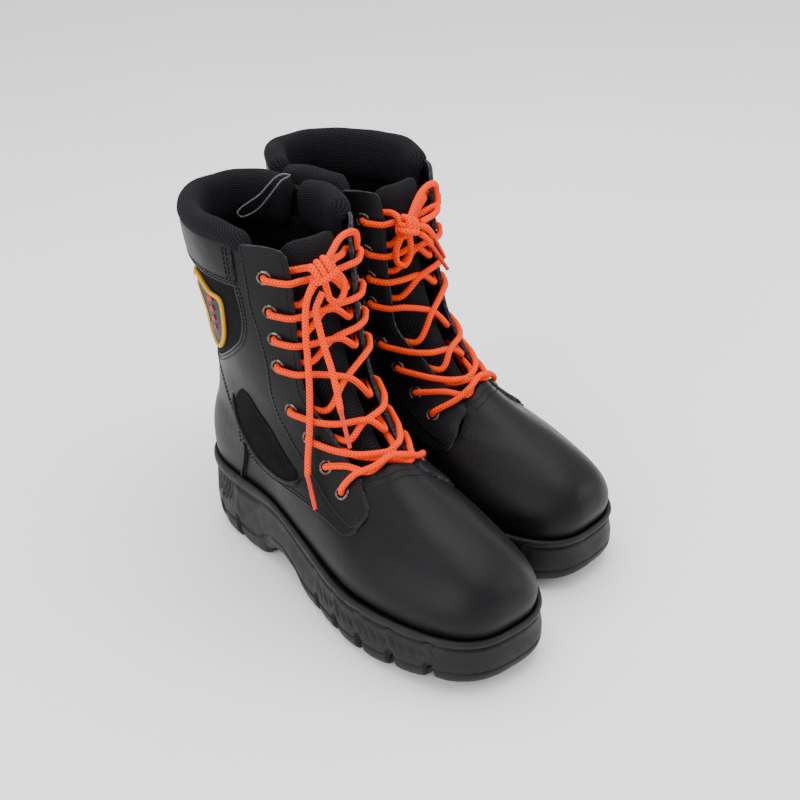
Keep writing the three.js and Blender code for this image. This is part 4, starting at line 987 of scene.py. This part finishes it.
def make_badge():
    """Shield with a satin-stitched border on a felt field, a plain drop and four bars on it."""
    curve = spline(to_flat(on(-1, BADGE)), 0.8, closed=True)
    flat_outline = even(np.vstack([curve, curve[:1]]), 0.9)
    spots = list(zip(*from_flat(flat_outline)))
    panel("badge", [spots], 1.7, 1.4, GREY, spacing=2.4, rim=YELLOW, replaces="badge", bevel=0.2)
    t, level = from_flat(flat_outline)
    path = skin(t, level, 1.9)
    centre = path.mean(axis=0)
    inward = centre - path
    inward /= np.linalg.norm(inward, axis=1, keepdims=True)
    path = path + inward * 0.9
    points, faces, cloth = ring_tube(path, 1.45, 12)
    add_piece("badge_border", points, faces, YELLOW, cloth=cloth)

    def patch(name, outline, lift, material):
        flat = [on(-1, [p])[0] for p in outline]
        panel(name, [flat + [flat[0]]], lift, 0.8, material, spacing=2.0, rim=material, bevel=0.3)

    drop = [(46, 202), (51, 196), (55, 187), (54, 178), (49, 171), (43, 176), (39, 184), (41, 194)]
    patch("badge_drop", drop, 2.6, YELLOW)
    for n, (z, wide) in enumerate([(197, 8), (189, 8), (181, 6.5), (173.5, 5)]):
        s = 71.0 - n * 1.6
        bar = [(s - wide / 2, z - 1.5), (s + wide / 2, z + 1.5), (s + wide / 2 - 1, z + 5),
               (s - wide / 2 + 1, z + 2)]
        patch(f"badge_bar_{n + 1}", bar, 2.5, RED)


def make_lining():
    """Textile lining inside the shaft and foot, open over the instep."""
    levels = np.linspace(0.4, float(back(226)[1]), 60)
    grid_t = np.linspace(0.13, 1.87, 150)
    points, cloth = [], []
    for level in levels:
        for t in grid_t:
            spread = smoothstep((level - 3.2) / 1.2)
            start = 0.02 + spread * 0.14
            share = (t - 0.13) / 1.74
            column = start + share * (2 - 2 * start)
            points.append(skin(column if column <= 1 else column - 2, level, -4.8))
            cloth.append((column * AROUND, float(level) * 25))
    across = len(grid_t)
    faces = [(i * across + j, (i + 1) * across + j, (i + 1) * across + j + 1, i * across + j + 1)
             for i in range(len(levels) - 1) for j in range(across - 1)]
    add_piece("lining", points, faces, LINING, "lining", cloth=cloth, thick=0.8)


PAD_STEP = 1.6                   # between slices of the collar padding
COLLAR_PROFILE = [(0.2, 243.5), (1.9, 246.5), (2.6, 250.5), (1.2, 254.6), (-2.6, 257.0), (-7.2, 257.3),
                  (-11.0, 255.0), (-13.2, 250.5), (-13.6, 243.0), (-12.6, 234.0), (-10.2, 226.0),
                  (-6.8, 221.0), (-5.2, 224.0), (-4.6, 232.0), (-3.2, 240.0)]


def make_collar_pad():
    """Foam roll covered in knit, over the rim of the shaft, open at the front and at the zip."""
    profile = spline([np.array(p) for p in COLLAR_PROFILE], 1.3, closed=True)
    gap = 4.5 / AROUND
    zip_t = inner(ZIP_TOP[0], 244)[0]
    runs = [(inner(113, 244)[0], zip_t - gap, "collar_pad_front"),
            (zip_t + gap, 2 + outer(113, 244)[0], "collar_pad")]
    for start, end, name in runs:
        count = max(12, int(abs(end - start) * AROUND / PAD_STEP))
        points, cloth = [], []
        for i in range(count + 1):
            share = i / count
            t = start + (end - start) * share
            away = min(i, count - i) * PAD_STEP
            shrink = math.sqrt(max(0.03, 1 - (1 - min(1, away / 6)) ** 2))
            wave = 0.7 * math.sin(t * 17) + 0.5 * math.sin(t * 41 + 1)
            dip = 5.0 * smoothstep(1 - away / 26) * (1 if name == "collar_pad" and i > count / 2 else 0.5)
            mid = np.array([-5.0, 243.0])
            run = 0.0
            before = None
            for offset, z in profile:
                offset, z = mid + (np.array([offset, z]) - mid) * shrink
                z = z - dip * smoothstep((z - 225) / 30) + wave * 0.35 * smoothstep((z - 235) / 20)
                column = t if t <= 1 else t - 2
                level = float(np.interp(min(z, 251), HEIGHTS, LEVELS))
                base = skin(column, level, offset)
                base[2] = z
                points.append(base)
                if before is not None:
                    run += float(np.linalg.norm(base - before))
                before = base
                cloth.append((t * AROUND, run))
        across = len(profile)
        faces = [(i * across + j, i * across + (j + 1) % across, (i + 1) * across + (j + 1) % across,
                  (i + 1) * across + j) for i in range(count) for j in range(across)]
        faces.append(tuple(range(across))[::-1])
        faces.append(tuple(count * across + j for j in range(across)))
        solid = "collar_pad" if name == "collar_pad" else None
        for piece in add_piece(name, points, faces, KNIT, solid, cloth=cloth):
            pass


PADDED_FROM = 200                # the height where the tongue's padded herringbone top begins


def make_tongue():
    """Tongue under the facings: mesh cloth below, a padded herringbone top above."""
    zs = np.linspace(98, 245, 96)
    half = lambda z: float(np.interp(z, [98, 124, 190, 212, 245], [24, 34, 34, 34, 31]))
    columns = 56
    outer_face, inner_face, cloth = [], [], []
    for z in zs:
        puff = smoothstep((z - PADDED_FROM) / 12) * math.sqrt(min(1.0, max(0.0, (245.2 - z) / 7)))
        for j in range(columns + 1):
            u = -1 + 2 * j / columns
            height = z - 9 * abs(u) ** 5 * float(smoothstep((z - 224) / 20))
            t, level = front(u * half(z), height)
            crown = math.sqrt(max(0.0, 1 - abs(u) ** 3))
            depth = 11.8 - 3.4 * puff * crown
            thick = 2.2 + 9.0 * puff * crown
            outer_face.append(skin(t, level, -depth))
            inner_face.append(skin(t, level, -depth - thick))
            cloth.append((u * half(z), z))
    across = columns + 1
    base = len(outer_face)
    points = outer_face + inner_face
    faces = []
    for i in range(len(zs) - 1):
        for j in range(columns):
            a, b = i * across + j, (i + 1) * across + j
            faces.append((a, a + 1, b + 1, b))
            faces.append((base + a, base + b, base + b + 1, base + a + 1))
    for i in range(len(zs) - 1):
        for j in (0, columns):
            a, b = i * across + j, (i + 1) * across + j
            quad = (a, b, base + b, base + a)
            faces.append(quad if j == 0 else quad[::-1])
    for i in (0, len(zs) - 1):
        for j in range(columns):
            a = i * across + j
            quad = (a, base + a, base + a + 1, a + 1)
            faces.append(quad if i == 0 else quad[::-1])
    made = add_piece("tongue", points, faces, MESH_CLOTH, "tongue", cloth=cloth + cloth)
    for piece in made:
        piece.data.materials.append(HERRINGBONE)
        for face in piece.data.polygons:
            if np.mean([cloth[k % base][1] for k in face.vertices]) > PADDED_FROM:
                face.material_index = 1


make_vamp()
make_counter()
make_quarter(-1)
make_quarter(1)
make_medial_rear()
make_facings()
make_rear_panel()
make_band()
make_insert()
make_badge()
make_lining()
make_collar_pad()
make_tongue()

# ---- the sole ----------------------------------------------------------------------------------
SOLE_FLARE = 5.5
RAND_FOREFOOT, RAND_HEEL, TOE_SPRING = 41.0, 58.0, 9.0
HEEL_GROOVES = (40, 64)
FOREFOOT_GROOVES = (174, 198, 222, 248, 274)
ARCH = [(88, 0), (93, 1), (97, 8), (108, 15), (125, 17), (142, 12), (153, 1), (158, 0)]
TREAD_LINE = [(-20, 17), (85, 17), (115, 23), (140, 20), (165, 13), (230, 13), (300, 21), (330, 24)]
WALL = [(0.0, -4.5), (0.03, -3.2), (0.08, -1.7), (0.16, -0.5), (0.25, -0.1), (0.27, -1.3), (0.285, -1.3),
        (0.31, -0.1), (0.40, 0.0), (0.50, -0.4), (0.66, -1.2), (0.76, -1.5), (0.80, -3.3), (0.825, -3.4),
        (0.85, -1.5), (0.88, -0.5), (0.93, -0.1), (0.97, -0.5), (1.0, -1.6)]
AROUND_SOLE = 900


def rand_top(s):
    """Height of the midsole's rim: higher round the heel than round the toes."""
    return RAND_FOREFOOT + (RAND_HEEL - RAND_FOREFOOT) * smoothstep((215 - s) / 110)


def toe_lift(s):
    """How far the toe springs up off the ground."""
    return TOE_SPRING * smoothstep((s - 215) / 95)


def groove(s, width=3.5):
    """1 in the middle of a groove across the tread, 0 on the lugs."""
    near = np.min([np.abs(s - g) for g in HEEL_GROOVES + FOREFOOT_GROOVES], axis=0)
    return smoothstep((width - near) / 1.6)


def arch(s):
    """Height of the arch between heel and forefoot."""
    return np.interp(s, [p[0] for p in ARCH], [p[1] for p in ARCH], left=0, right=0)


def sole_low(s):
    """Lower edge of the side wall: rounded lugs, arch and toe spring."""
    stations = sorted([-10, 93, 153, 312, *HEEL_GROOVES, *FOREFOOT_GROOVES])
    lug = np.zeros_like(s)
    for a, b in zip(stations[:-1], stations[1:]):
        within = (s > a) & (s <= b)
        u = np.where(within, (s - a) / (b - a) * 2 - 1, 0)
        lug = np.where(within, 3.0 * np.abs(u) ** 3.5, lug)
    return toe_lift(s) + np.maximum(arch(s), lug) + groove(s) * 5.5


def ribs(s, v):
    """Slanted mould ribs: a leaf along the forefoot and a crescent round the heel."""
    leaf = smoothstep((s - 168) / 22) * smoothstep((292 - s) / 30)
    middle = 0.56 + 0.0004 * (s - 230)
    leaf = leaf * smoothstep(1 - np.abs(v - middle) / 0.13)
    crescent = smoothstep((66 - s) / 14) * smoothstep((s - 6) / 10)
    low = 0.44 + 0.22 * ((s - 34) / 34) ** 2
    crescent = crescent * smoothstep((v - low) / 0.05) * smoothstep((0.80 - v) / 0.06)
    wave_leaf = np.sin((s + v * 24) * math.tau / 7.0)
    wave_heel = np.sin((s - v * 26) * math.tau / 4.6)
    return leaf * (0.7 * wave_leaf - 0.2) + crescent * (0.9 * wave_heel - 0.9)


def sole_outline():
    """The foot of the form all the way round, and its outward directions."""
    t = np.linspace(-1, 1, AROUND_SOLE, endpoint=False)
    ring = sample(FORM, t, np.zeros(AROUND_SOLE))
    along = np.roll(ring, -1, axis=0) - np.roll(ring, 1, axis=0)
    out = np.stack([along[:, 1], -along[:, 0]], axis=1)
    out /= np.linalg.norm(out, axis=1, keepdims=True)
    if np.dot(out[AROUND_SOLE // 4], ring[AROUND_SOLE // 4, :2] - ring[:, :2].mean(axis=0)) < 0:
        out = -out
    return t, ring, out


def close_rings(rows):
    """Faces between rings that all go round the sole."""
    count = AROUND_SOLE
    return [(i * count + j, i * count + (j + 1) % count, (i + 1) * count + (j + 1) % count,
             (i + 1) * count + j) for i in range(rows - 1) for j in range(count)]


def make_sole():
    """Midsole and outsole as rings that go round the foot, joined into two closed skins."""
    t, ring, out = sole_outline()
    s = HEEL_Y - ring[:, 1]
    low, top = sole_low(s), rand_top(s)
    split = np.maximum(blend([p[0] for p in TREAD_LINE], [p[1] for p in TREAD_LINE], s), low + 3)
    split_v = (split - low) / (top - low)

    def wall(v):
        offset = SOLE_FLARE + np.interp(v, [p[0] for p in WALL], [p[1] for p in WALL]) + ribs(s, v)
        offset = offset - groove(s, 3.4) * 2.6 * smoothstep((0.30 - v) / 0.12)
        return np.column_stack([ring[:, :2] + out * offset[:, None], low + (top - low) * v])

    def inward(offset, z):
        return np.column_stack([ring[:, :2] + out * offset, np.broadcast_to(z, s.shape)])

    # midsole: from the seam up the wall, over the rim, down its inside and back to the seam
    rows = [wall(split_v + (1 - split_v) * share) for share in np.linspace(0, 1, 44)]
    levels = np.array([np.interp(z, FORM[:, int((where + 1) * (COLUMNS - 1)), 2], LEVELS)
                       for where, z in zip(t, top - 1.2)])
    lip = skin(t, levels, 0.6)
    lip_out = rows[-1] * 0.5 + lip * 0.5
    lip_out[:, 2] = top + 0.1
    rows += [lip_out, lip, skin(t, levels, -1.2), inward(-3.0, split)]
    points = np.concatenate(rows)
    count = len(rows)
    faces = close_rings(count)
    last = (count - 1) * AROUND_SOLE
    faces += [(last + j, last + (j + 1) % AROUND_SOLE, (j + 1) % AROUND_SOLE, j) for j in range(AROUND_SOLE)]
    add_piece("midsole", points, faces, RUBBER, "midsole")

    # outsole: underside from the middle line out, then up the wall to the seam, then a lid
    middle_x = np.interp(s, *middle_line(ring, s))
    under = []
    for share in np.linspace(0, 1, 22):
        edge = ring[:, :2] + out * (SOLE_FLARE - 4.5)
        x = middle_x + (edge[:, 0] - middle_x) * share
        y = HEEL_Y - s + (edge[:, 1] - ring[:, 1]) * share
        station = HEEL_Y - y
        rib = 0.8 * smoothstep((np.abs(np.sin(share * math.pi * 3.0)) - 0.86) / 0.1)
        z = toe_lift(station) + np.maximum(arch(station), 0) + np.maximum(groove(station) * 5.0, rib)
        z = z + (low - z) * smoothstep((share - 0.9) / 0.1)
        under.append(np.column_stack([x, y, z]))
    side = [wall(split_v * share) for share in np.linspace(0, 1, 22)][1:]
    lid = [inward(-3.0, split - 0.2)]
    rows = under + side + lid
    points = np.concatenate(rows)
    faces = close_rings(len(rows))
    cap = (len(rows) - 1) * AROUND_SOLE
    half = AROUND_SOLE // 2
    for j in range(1, half):
        a, b = cap + half - j, cap + (half + j) % AROUND_SOLE
        c, d = cap + half - j - 1, cap + (half + j + 1) % AROUND_SOLE
        faces.append((a, b, d, c) if c != d else (a, b, c))
    add_piece("outsole", points, faces, RUBBER, "outsole")


def middle_line(ring, s):
    """Stations and the sole's middle x at each."""
    stations = np.linspace(s.min() + 1, s.max() - 1, 60)
    half = AROUND_SOLE // 2
    out_side, in_side = slice(0, half + 1), slice(half, AROUND_SOLE)
    x_out = np.interp(stations, s[out_side], ring[out_side, 0])
    x_in = np.interp(stations, s[in_side][::-1], ring[in_side, 0][::-1])
    return stations, (x_out + x_in) / 2


make_sole()

# ---- eyelets and laces -------------------------------------------------------------------------
EYELET_HOLE, EYELET_RIM = 6.0, 10.6
RIM_SIDES, SHADE_SIDES = 40, 24
EYELET_LIFT = FACING_LIFT + 0.05


def spot_frame(side, s, z):
    """Point, across, up and outward directions at an eyelet."""
    t, level = SIDES[side](s, z)
    normal = sample(FORM_NORMALS, t, level)
    up = np.array([0, 0, 1.0]) - normal * normal[2]
    up /= np.linalg.norm(up)
    return sample(FORM, t, level), np.cross(up, normal), up, normal


def make_eyelets():
    """Rolled metal rims, each with a dark disc that stands for the hole behind the lace."""
    hole, rim = EYELET_HOLE / 2, EYELET_RIM / 2
    profile = [(hole - 0.1, -2.6), (hole, -0.3), (hole + 0.15, 0.5), (hole + 0.7, 1.05), (hole + 1.3, 0.95),
               (rim - 0.35, 0.5), (rim, 0.12), (rim - 0.1, -0.25), (hole + 0.6, -0.3), (hole + 0.5, -2.6)]
    for side, name in ((-1, "eyelets_lateral"), (1, "eyelets_medial")):
        parts, discs = [], []
        for s, z in EYELETS:
            point, across, up, normal = spot_frame(side, s, z)
            points = [point + (across * math.cos(a) + up * math.sin(a)) * r + normal * (EYELET_LIFT + h)
                      for a in np.arange(RIM_SIDES) * math.tau / RIM_SIDES for r, h in profile]
            rings = len(profile)
            faces = [(i * rings + j, ((i + 1) % RIM_SIDES) * rings + j,
                      ((i + 1) % RIM_SIDES) * rings + (j + 1) % rings, i * rings + (j + 1) % rings)
                     for i in range(RIM_SIDES) for j in range(rings)]
            parts.append((points, faces, points))
            dark = [point + (across * math.cos(a) + up * math.sin(a)) * (hole + 0.2)
                    + normal * (EYELET_LIFT + h)
                    for h in (-1.6, 0.02) for a in np.arange(SHADE_SIDES) * math.tau / SHADE_SIDES]
            faces = [(j, (j + 1) % SHADE_SIDES, SHADE_SIDES + (j + 1) % SHADE_SIDES, SHADE_SIDES + j)
                     for j in range(SHADE_SIDES)]
            faces += [tuple(range(SHADE_SIDES))[::-1], tuple(range(SHADE_SIDES, 2 * SHADE_SIDES))]
            discs.append((dark, faces, dark))
        points, faces, _ = merged(parts)
        add_piece(name, points, faces, METAL, name)
        points, faces, _ = merged(discs)
        add_piece(f"{name}_shade", points, faces, LINING)


LACE_OVER = 4.7
LACE_UNDER = -4.4
LACE_MIDDLE = -5.0
LOWEST_EDGE = 114


def at_front(x, z, lift):
    """A point over the front of the form."""
    return skin(*front(x, z), lift)


def leaving(point, normal, goal):
    """Out through the eyelet at the point, then over its rim toward the goal."""
    toward = goal - point
    toward /= np.linalg.norm(toward)
    return [point + normal * -3, point + normal * 2.4, point + normal * (LACE_OVER - 0.2) + toward * 2.6]


def crossing(side, i):
    """From inside the eyelet, out through it and over the edge of the facing."""
    z = max(EYELETS[i][1] - 3, LOWEST_EDGE - 6)
    edge = edge_half_width(z)
    point, _, _, normal = spot_frame(side, *EYELETS[i])
    edge_top = at_front(side * (edge + 2), z, LACE / 2 + 2.2)
    return [*leaving(point, normal, edge_top),
            (point + normal * LACE_OVER + edge_top) / 2 + normal * 0.8,
            at_front(side * (edge + 1), z, LACE / 2 + 2.0), at_front(side * (edge - 5), z, 0.6)]


def arrival(side, i):
    """Under the edge of the facing and up into the eyelet from inside."""
    z = max(EYELETS[i][1] + 3, LOWEST_EDGE)
    point, _, _, normal = spot_frame(side, *EYELETS[i])
    edge = edge_half_width(z)
    return [at_front(side * (edge - 3), z, LACE_UNDER), at_front(side * (edge + 5), z, LACE_UNDER),
            point + normal * LACE_UNDER, point + normal * -2.4]


def bar_end(side, i):
    """From inside the lowest eyelet, out and forward over the foot of the facing."""
    point, _, _, normal = spot_frame(side, *EYELETS[i])
    corner = at_front(side * 19, 104, LACE / 2 + 2.3)
    return [*leaving(point, normal, corner), corner, at_front(side * 10, 111, LACE / 2 + 1.6)]


def lace_tube(points):
    return ring_tube(even(spline(points, 0.6), 0.55), LACE / 2, LACE_SIDES, LACE_RELIEF)


def wraps(centre, axis, up, radius, tall, turns, pitch, phase=0.0):
    """Turns of cord round an axis."""
    side = np.cross(axis, up)
    angles = np.linspace(phase, phase + turns * math.tau, int(turns * 14))
    return [centre + side * (math.cos(a) * radius) + up * (math.sin(a) * tall)
            + axis * (pitch * ((a - phase) / math.tau - turns / 2)) for a in angles]


def make_laces():
    """Crossed strands, the bar over the lowest eyelets, and the knot: wraps and bows."""
    for hand in HANDS:
        strands = []
        for side in (-1, 1):
            for i in range(len(EYELETS) - 1):
                z = max((EYELETS[i][1] + EYELETS[i + 1][1]) / 2 + 6, 116)
                lift = LACE_MIDDLE + (2.4 if side < 0 else -0.6)
                strands.append(lace_tube([*crossing(side, i), at_front(-side * 2, z, lift),
                                          *arrival(-side, i + 1)]))
            under, _, behind, _ = arrival(side, 0)
            knot = own(*KNOT[hand])
            strands.append(lace_tube([behind, under, under * 0.55 + knot * 0.45 + np.array([0, -1.5, 2]),
                                      knot + np.array([side * 4, 0, 1])]))
        last = len(EYELETS) - 1
        strands.append(lace_tube([*bar_end(-1, last), at_front(0, 114.5, 3.2), *bar_end(1, last)[::-1]]))
        centre = own(*KNOT[hand])
        tilt = np.array([0.9, -0.1, 0.42])
        tilt /= np.linalg.norm(tilt)
        up = np.cross(tilt, (0, 1, 0))
        up /= np.linalg.norm(up)
        strands.append(lace_tube(wraps(centre, tilt, up, 5.2, 6.2, 2.3, 4.6)))
        below = centre + np.array([0, -2.5, -1.5])
        strands.append(lace_tube(wraps(below, up, tilt, 4.6, 7.4, 1.2, 3.5, 0.7)))
        for route in BOWS[hand]:
            strands.append(lace_tube([own(*p) for p in route]))
        points, faces, cloth = merged(strands)
        add_piece("lace", points, faces, CORD, "lace", cloth=cloth, hands=(hand,))


BOWS = {
    "right": [
        [(-6, 150, 229), (0, 151, 227), (4, 151.5, 221), (3.5, 152, 214), (-1.5, 152.5, 209), (-7, 152, 212),
         (-9, 151, 221), (-9, 150, 227)],
        [(-6, 147, 233), (3, 143, 239), (12, 139, 243.5), (20, 137, 244.5), (26.5, 135, 242), (29, 133, 236),
         (31, 128, 229), (34, 123, 226.5)],
    ],
    "left": [
        [(20, 150, 220), (24, 148, 214), (27, 147, 206), (26, 147.5, 198.5), (21, 149, 195.5),
         (16.5, 150, 201), (16, 150.5, 209), (16.5, 150, 218)],
        [(14, 148, 226), (4, 144.5, 234), (-7, 141, 239.5), (-17, 139, 241), (-25, 136.5, 238),
         (-28.5, 134, 231), (-27, 136, 224), (-18, 143.5, 221.5), (4, 149.5, 222)],
    ],
}

make_eyelets()
make_laces()

# ---- the zip -----------------------------------------------------------------------------------

TAPE_RIBS = 60
TOOTH_PITCH = 2.4


def zip_frame():
    """The zip's bottom, its directions across, up and outward, and its length."""
    top = skin(*inner(*ZIP_TOP), -0.8)
    bottom = skin(*inner(*ZIP_BOTTOM), -0.8)
    up = top - bottom
    length = float(np.linalg.norm(up))
    up /= length
    outward = sample(FORM_NORMALS, *inner((ZIP_TOP[0] + ZIP_BOTTOM[0]) / 2, (ZIP_TOP[1] + ZIP_BOTTOM[1]) / 2))
    outward = outward - up * np.dot(outward, up)
    outward /= np.linalg.norm(outward)
    return bottom, np.cross(up, outward), up, outward, length


def brick(origin, axes, centre, size):
    """A box with its centre and size along the axes."""
    corners = [origin + sum(a * (c + d * e / 2) for a, c, d, e in zip(axes, centre, signs, size))
               for signs in [(x, y, z) for z in (-1, 1) for x, y in ((-1, -1), (1, -1), (1, 1), (-1, 1))]]
    faces = [(0, 3, 2, 1), (4, 5, 6, 7), (0, 1, 5, 4), (1, 2, 6, 5), (2, 3, 7, 6), (3, 0, 4, 7)]
    return corners, faces, [(0, 0)] * 8


def make_zip():
    """Two woven tapes, each with its row of metal teeth."""
    origin, across, up, outward, length = zip_frame()
    axes = (across, up, outward)
    for side, name in ((1, "front"), (-1, "rear")):
        parts = []
        step = (length + 4) / TAPE_RIBS
        for i in range(TAPE_RIBS):
            parts.append(brick(origin, axes, (side * 3.0, -2 + step * (i + 0.5), 0),
                               (5.6, step, 0.8 + 0.12 * (i % 2))))
        points, faces, _ = merged(parts)
        cloth = [(p[1] - origin[1], p[2]) for p in points]
        add_piece(f"zip_tape_{name}", points, faces, TWILL, f"zip_tape_{name}", cloth=cloth)
        teeth = []
        for i in range(int(length / TOOTH_PITCH)):
            y = 1.2 + i * TOOTH_PITCH + (TOOTH_PITCH / 2 if side > 0 else 0)
            teeth.append(brick(origin, axes, (side * 0.9, y, 0.8), (3.0, 1.05, 1.7)))
            teeth.append(brick(origin, axes, (side * -0.2, y, 0.8), (1.3, 0.85, 1.2)))
        points, faces, _ = merged(teeth)
        add_piece(f"zip_teeth_{name}", points, faces, ZIP_METAL, bevel=0.2)


def soften(name, material, body, width=0.35):
    """The solid's own shape with rounded edges."""
    for hand in HANDS:
        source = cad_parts[f"{hand}_{name}"]
        mesh = source.data.copy()
        mesh.materials.clear()
        mesh.materials.append(material)
        piece = bpy.data.objects.new(f"{hand}_{name}_visual", mesh)
        bpy.context.collection.objects.link(piece)
        edge = piece.modifiers.new("edges", "BEVEL")
        edge.width = width * MM
        edge.segments = 3
        edge.limit_method = "ANGLE"
        edge.angle_limit = math.radians(30)
        mesh.polygons.foreach_set("use_smooth", [True] * len(mesh.polygons))
        mesh.set_sharp_from_angle(angle=math.radians(40))
        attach(piece, f"{hand}_{body}")
        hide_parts(f"{hand}_{name}")


def finish_hidden_parts():
    """Materials of the solids that stay as they are, inside the boot."""
    finishes = {"insole_board": BOARD, "toe_cap": COMPOSITE, "heel_stiffener": COMPOSITE}
    for hand in HANDS:
        for name, material in finishes.items():
            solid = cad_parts[f"{hand}_{name}"]
            solid.data.materials.clear()
            solid.data.materials.append(material)


def make_stitching():
    points, faces, _ = merged(stitches)
    add_piece("stitching", points, faces, THREAD)


make_zip()
soften("zip_slider", ZIP_METAL, "zip_slider")
soften("zip_puller", ZIP_METAL, "zip_puller")
soften("footbed", FOAM, "boot", 1.2)
finish_hidden_parts()
make_stitching()

# ---- floor and light ---------------------------------------------------------------------------


def make_stage():
    """White paper floor under an even white sky."""
    mesh = bpy.data.meshes.new("floor")
    reach = 6.0
    mesh.from_pydata([(-reach, -reach, 0), (reach, -reach, 0), (reach, reach, 0), (-reach, reach, 0)], [],
                     [(0, 1, 2, 3)])
    floor = bpy.data.objects.new("floor", mesh)
    bpy.context.collection.objects.link(floor)
    material, tree, shader = new_material("floor_paper", "#fafafa", 0.9, Specular_IOR_Level=0.1)
    where = node(tree, "TexCoord", output="Object")
    paper = node(tree, "TexNoise", {"Vector": where, "Scale": scale_of(400), "Detail": 2, "Roughness": 0.55})
    finish(tree, shader, paper, [(0.3, "#f8f8f8"), (0.7, "#fcfcfc")])
    mesh.materials.append(material)
    world = bpy.data.worlds.new("studio")
    world.use_nodes = True
    world.node_tree.nodes["Background"].inputs["Color"].default_value = (1, 1, 1, 1)
    world.node_tree.nodes["Background"].inputs["Strength"].default_value = 1.25
    bpy.context.scene.world = world


def add_softbox(name, place, aim, size, power):
    data = bpy.data.lights.new(name, "AREA")
    data.shape = "RECTANGLE"
    data.size, data.size_y = size
    data.energy = power
    light = bpy.data.objects.new(name, data)
    bpy.context.collection.objects.link(light)
    light.location = place
    light.rotation_euler = (Vector(aim) - Vector(place)).to_track_quat("-Z", "Y").to_euler()


make_stage()
MIDDLE = (0, 0, 0.12)
add_softbox("top_softbox", (0.15, 0.1, 1.5), MIDDLE, (1.4, 1.4), 20)
add_softbox("left_softbox", (-1.5, -0.3, 0.8), MIDDLE, (0.9, 1.2), 13)
add_softbox("right_softbox", (1.3, -1.2, 0.9), MIDDLE, (0.8, 1.2), 11)
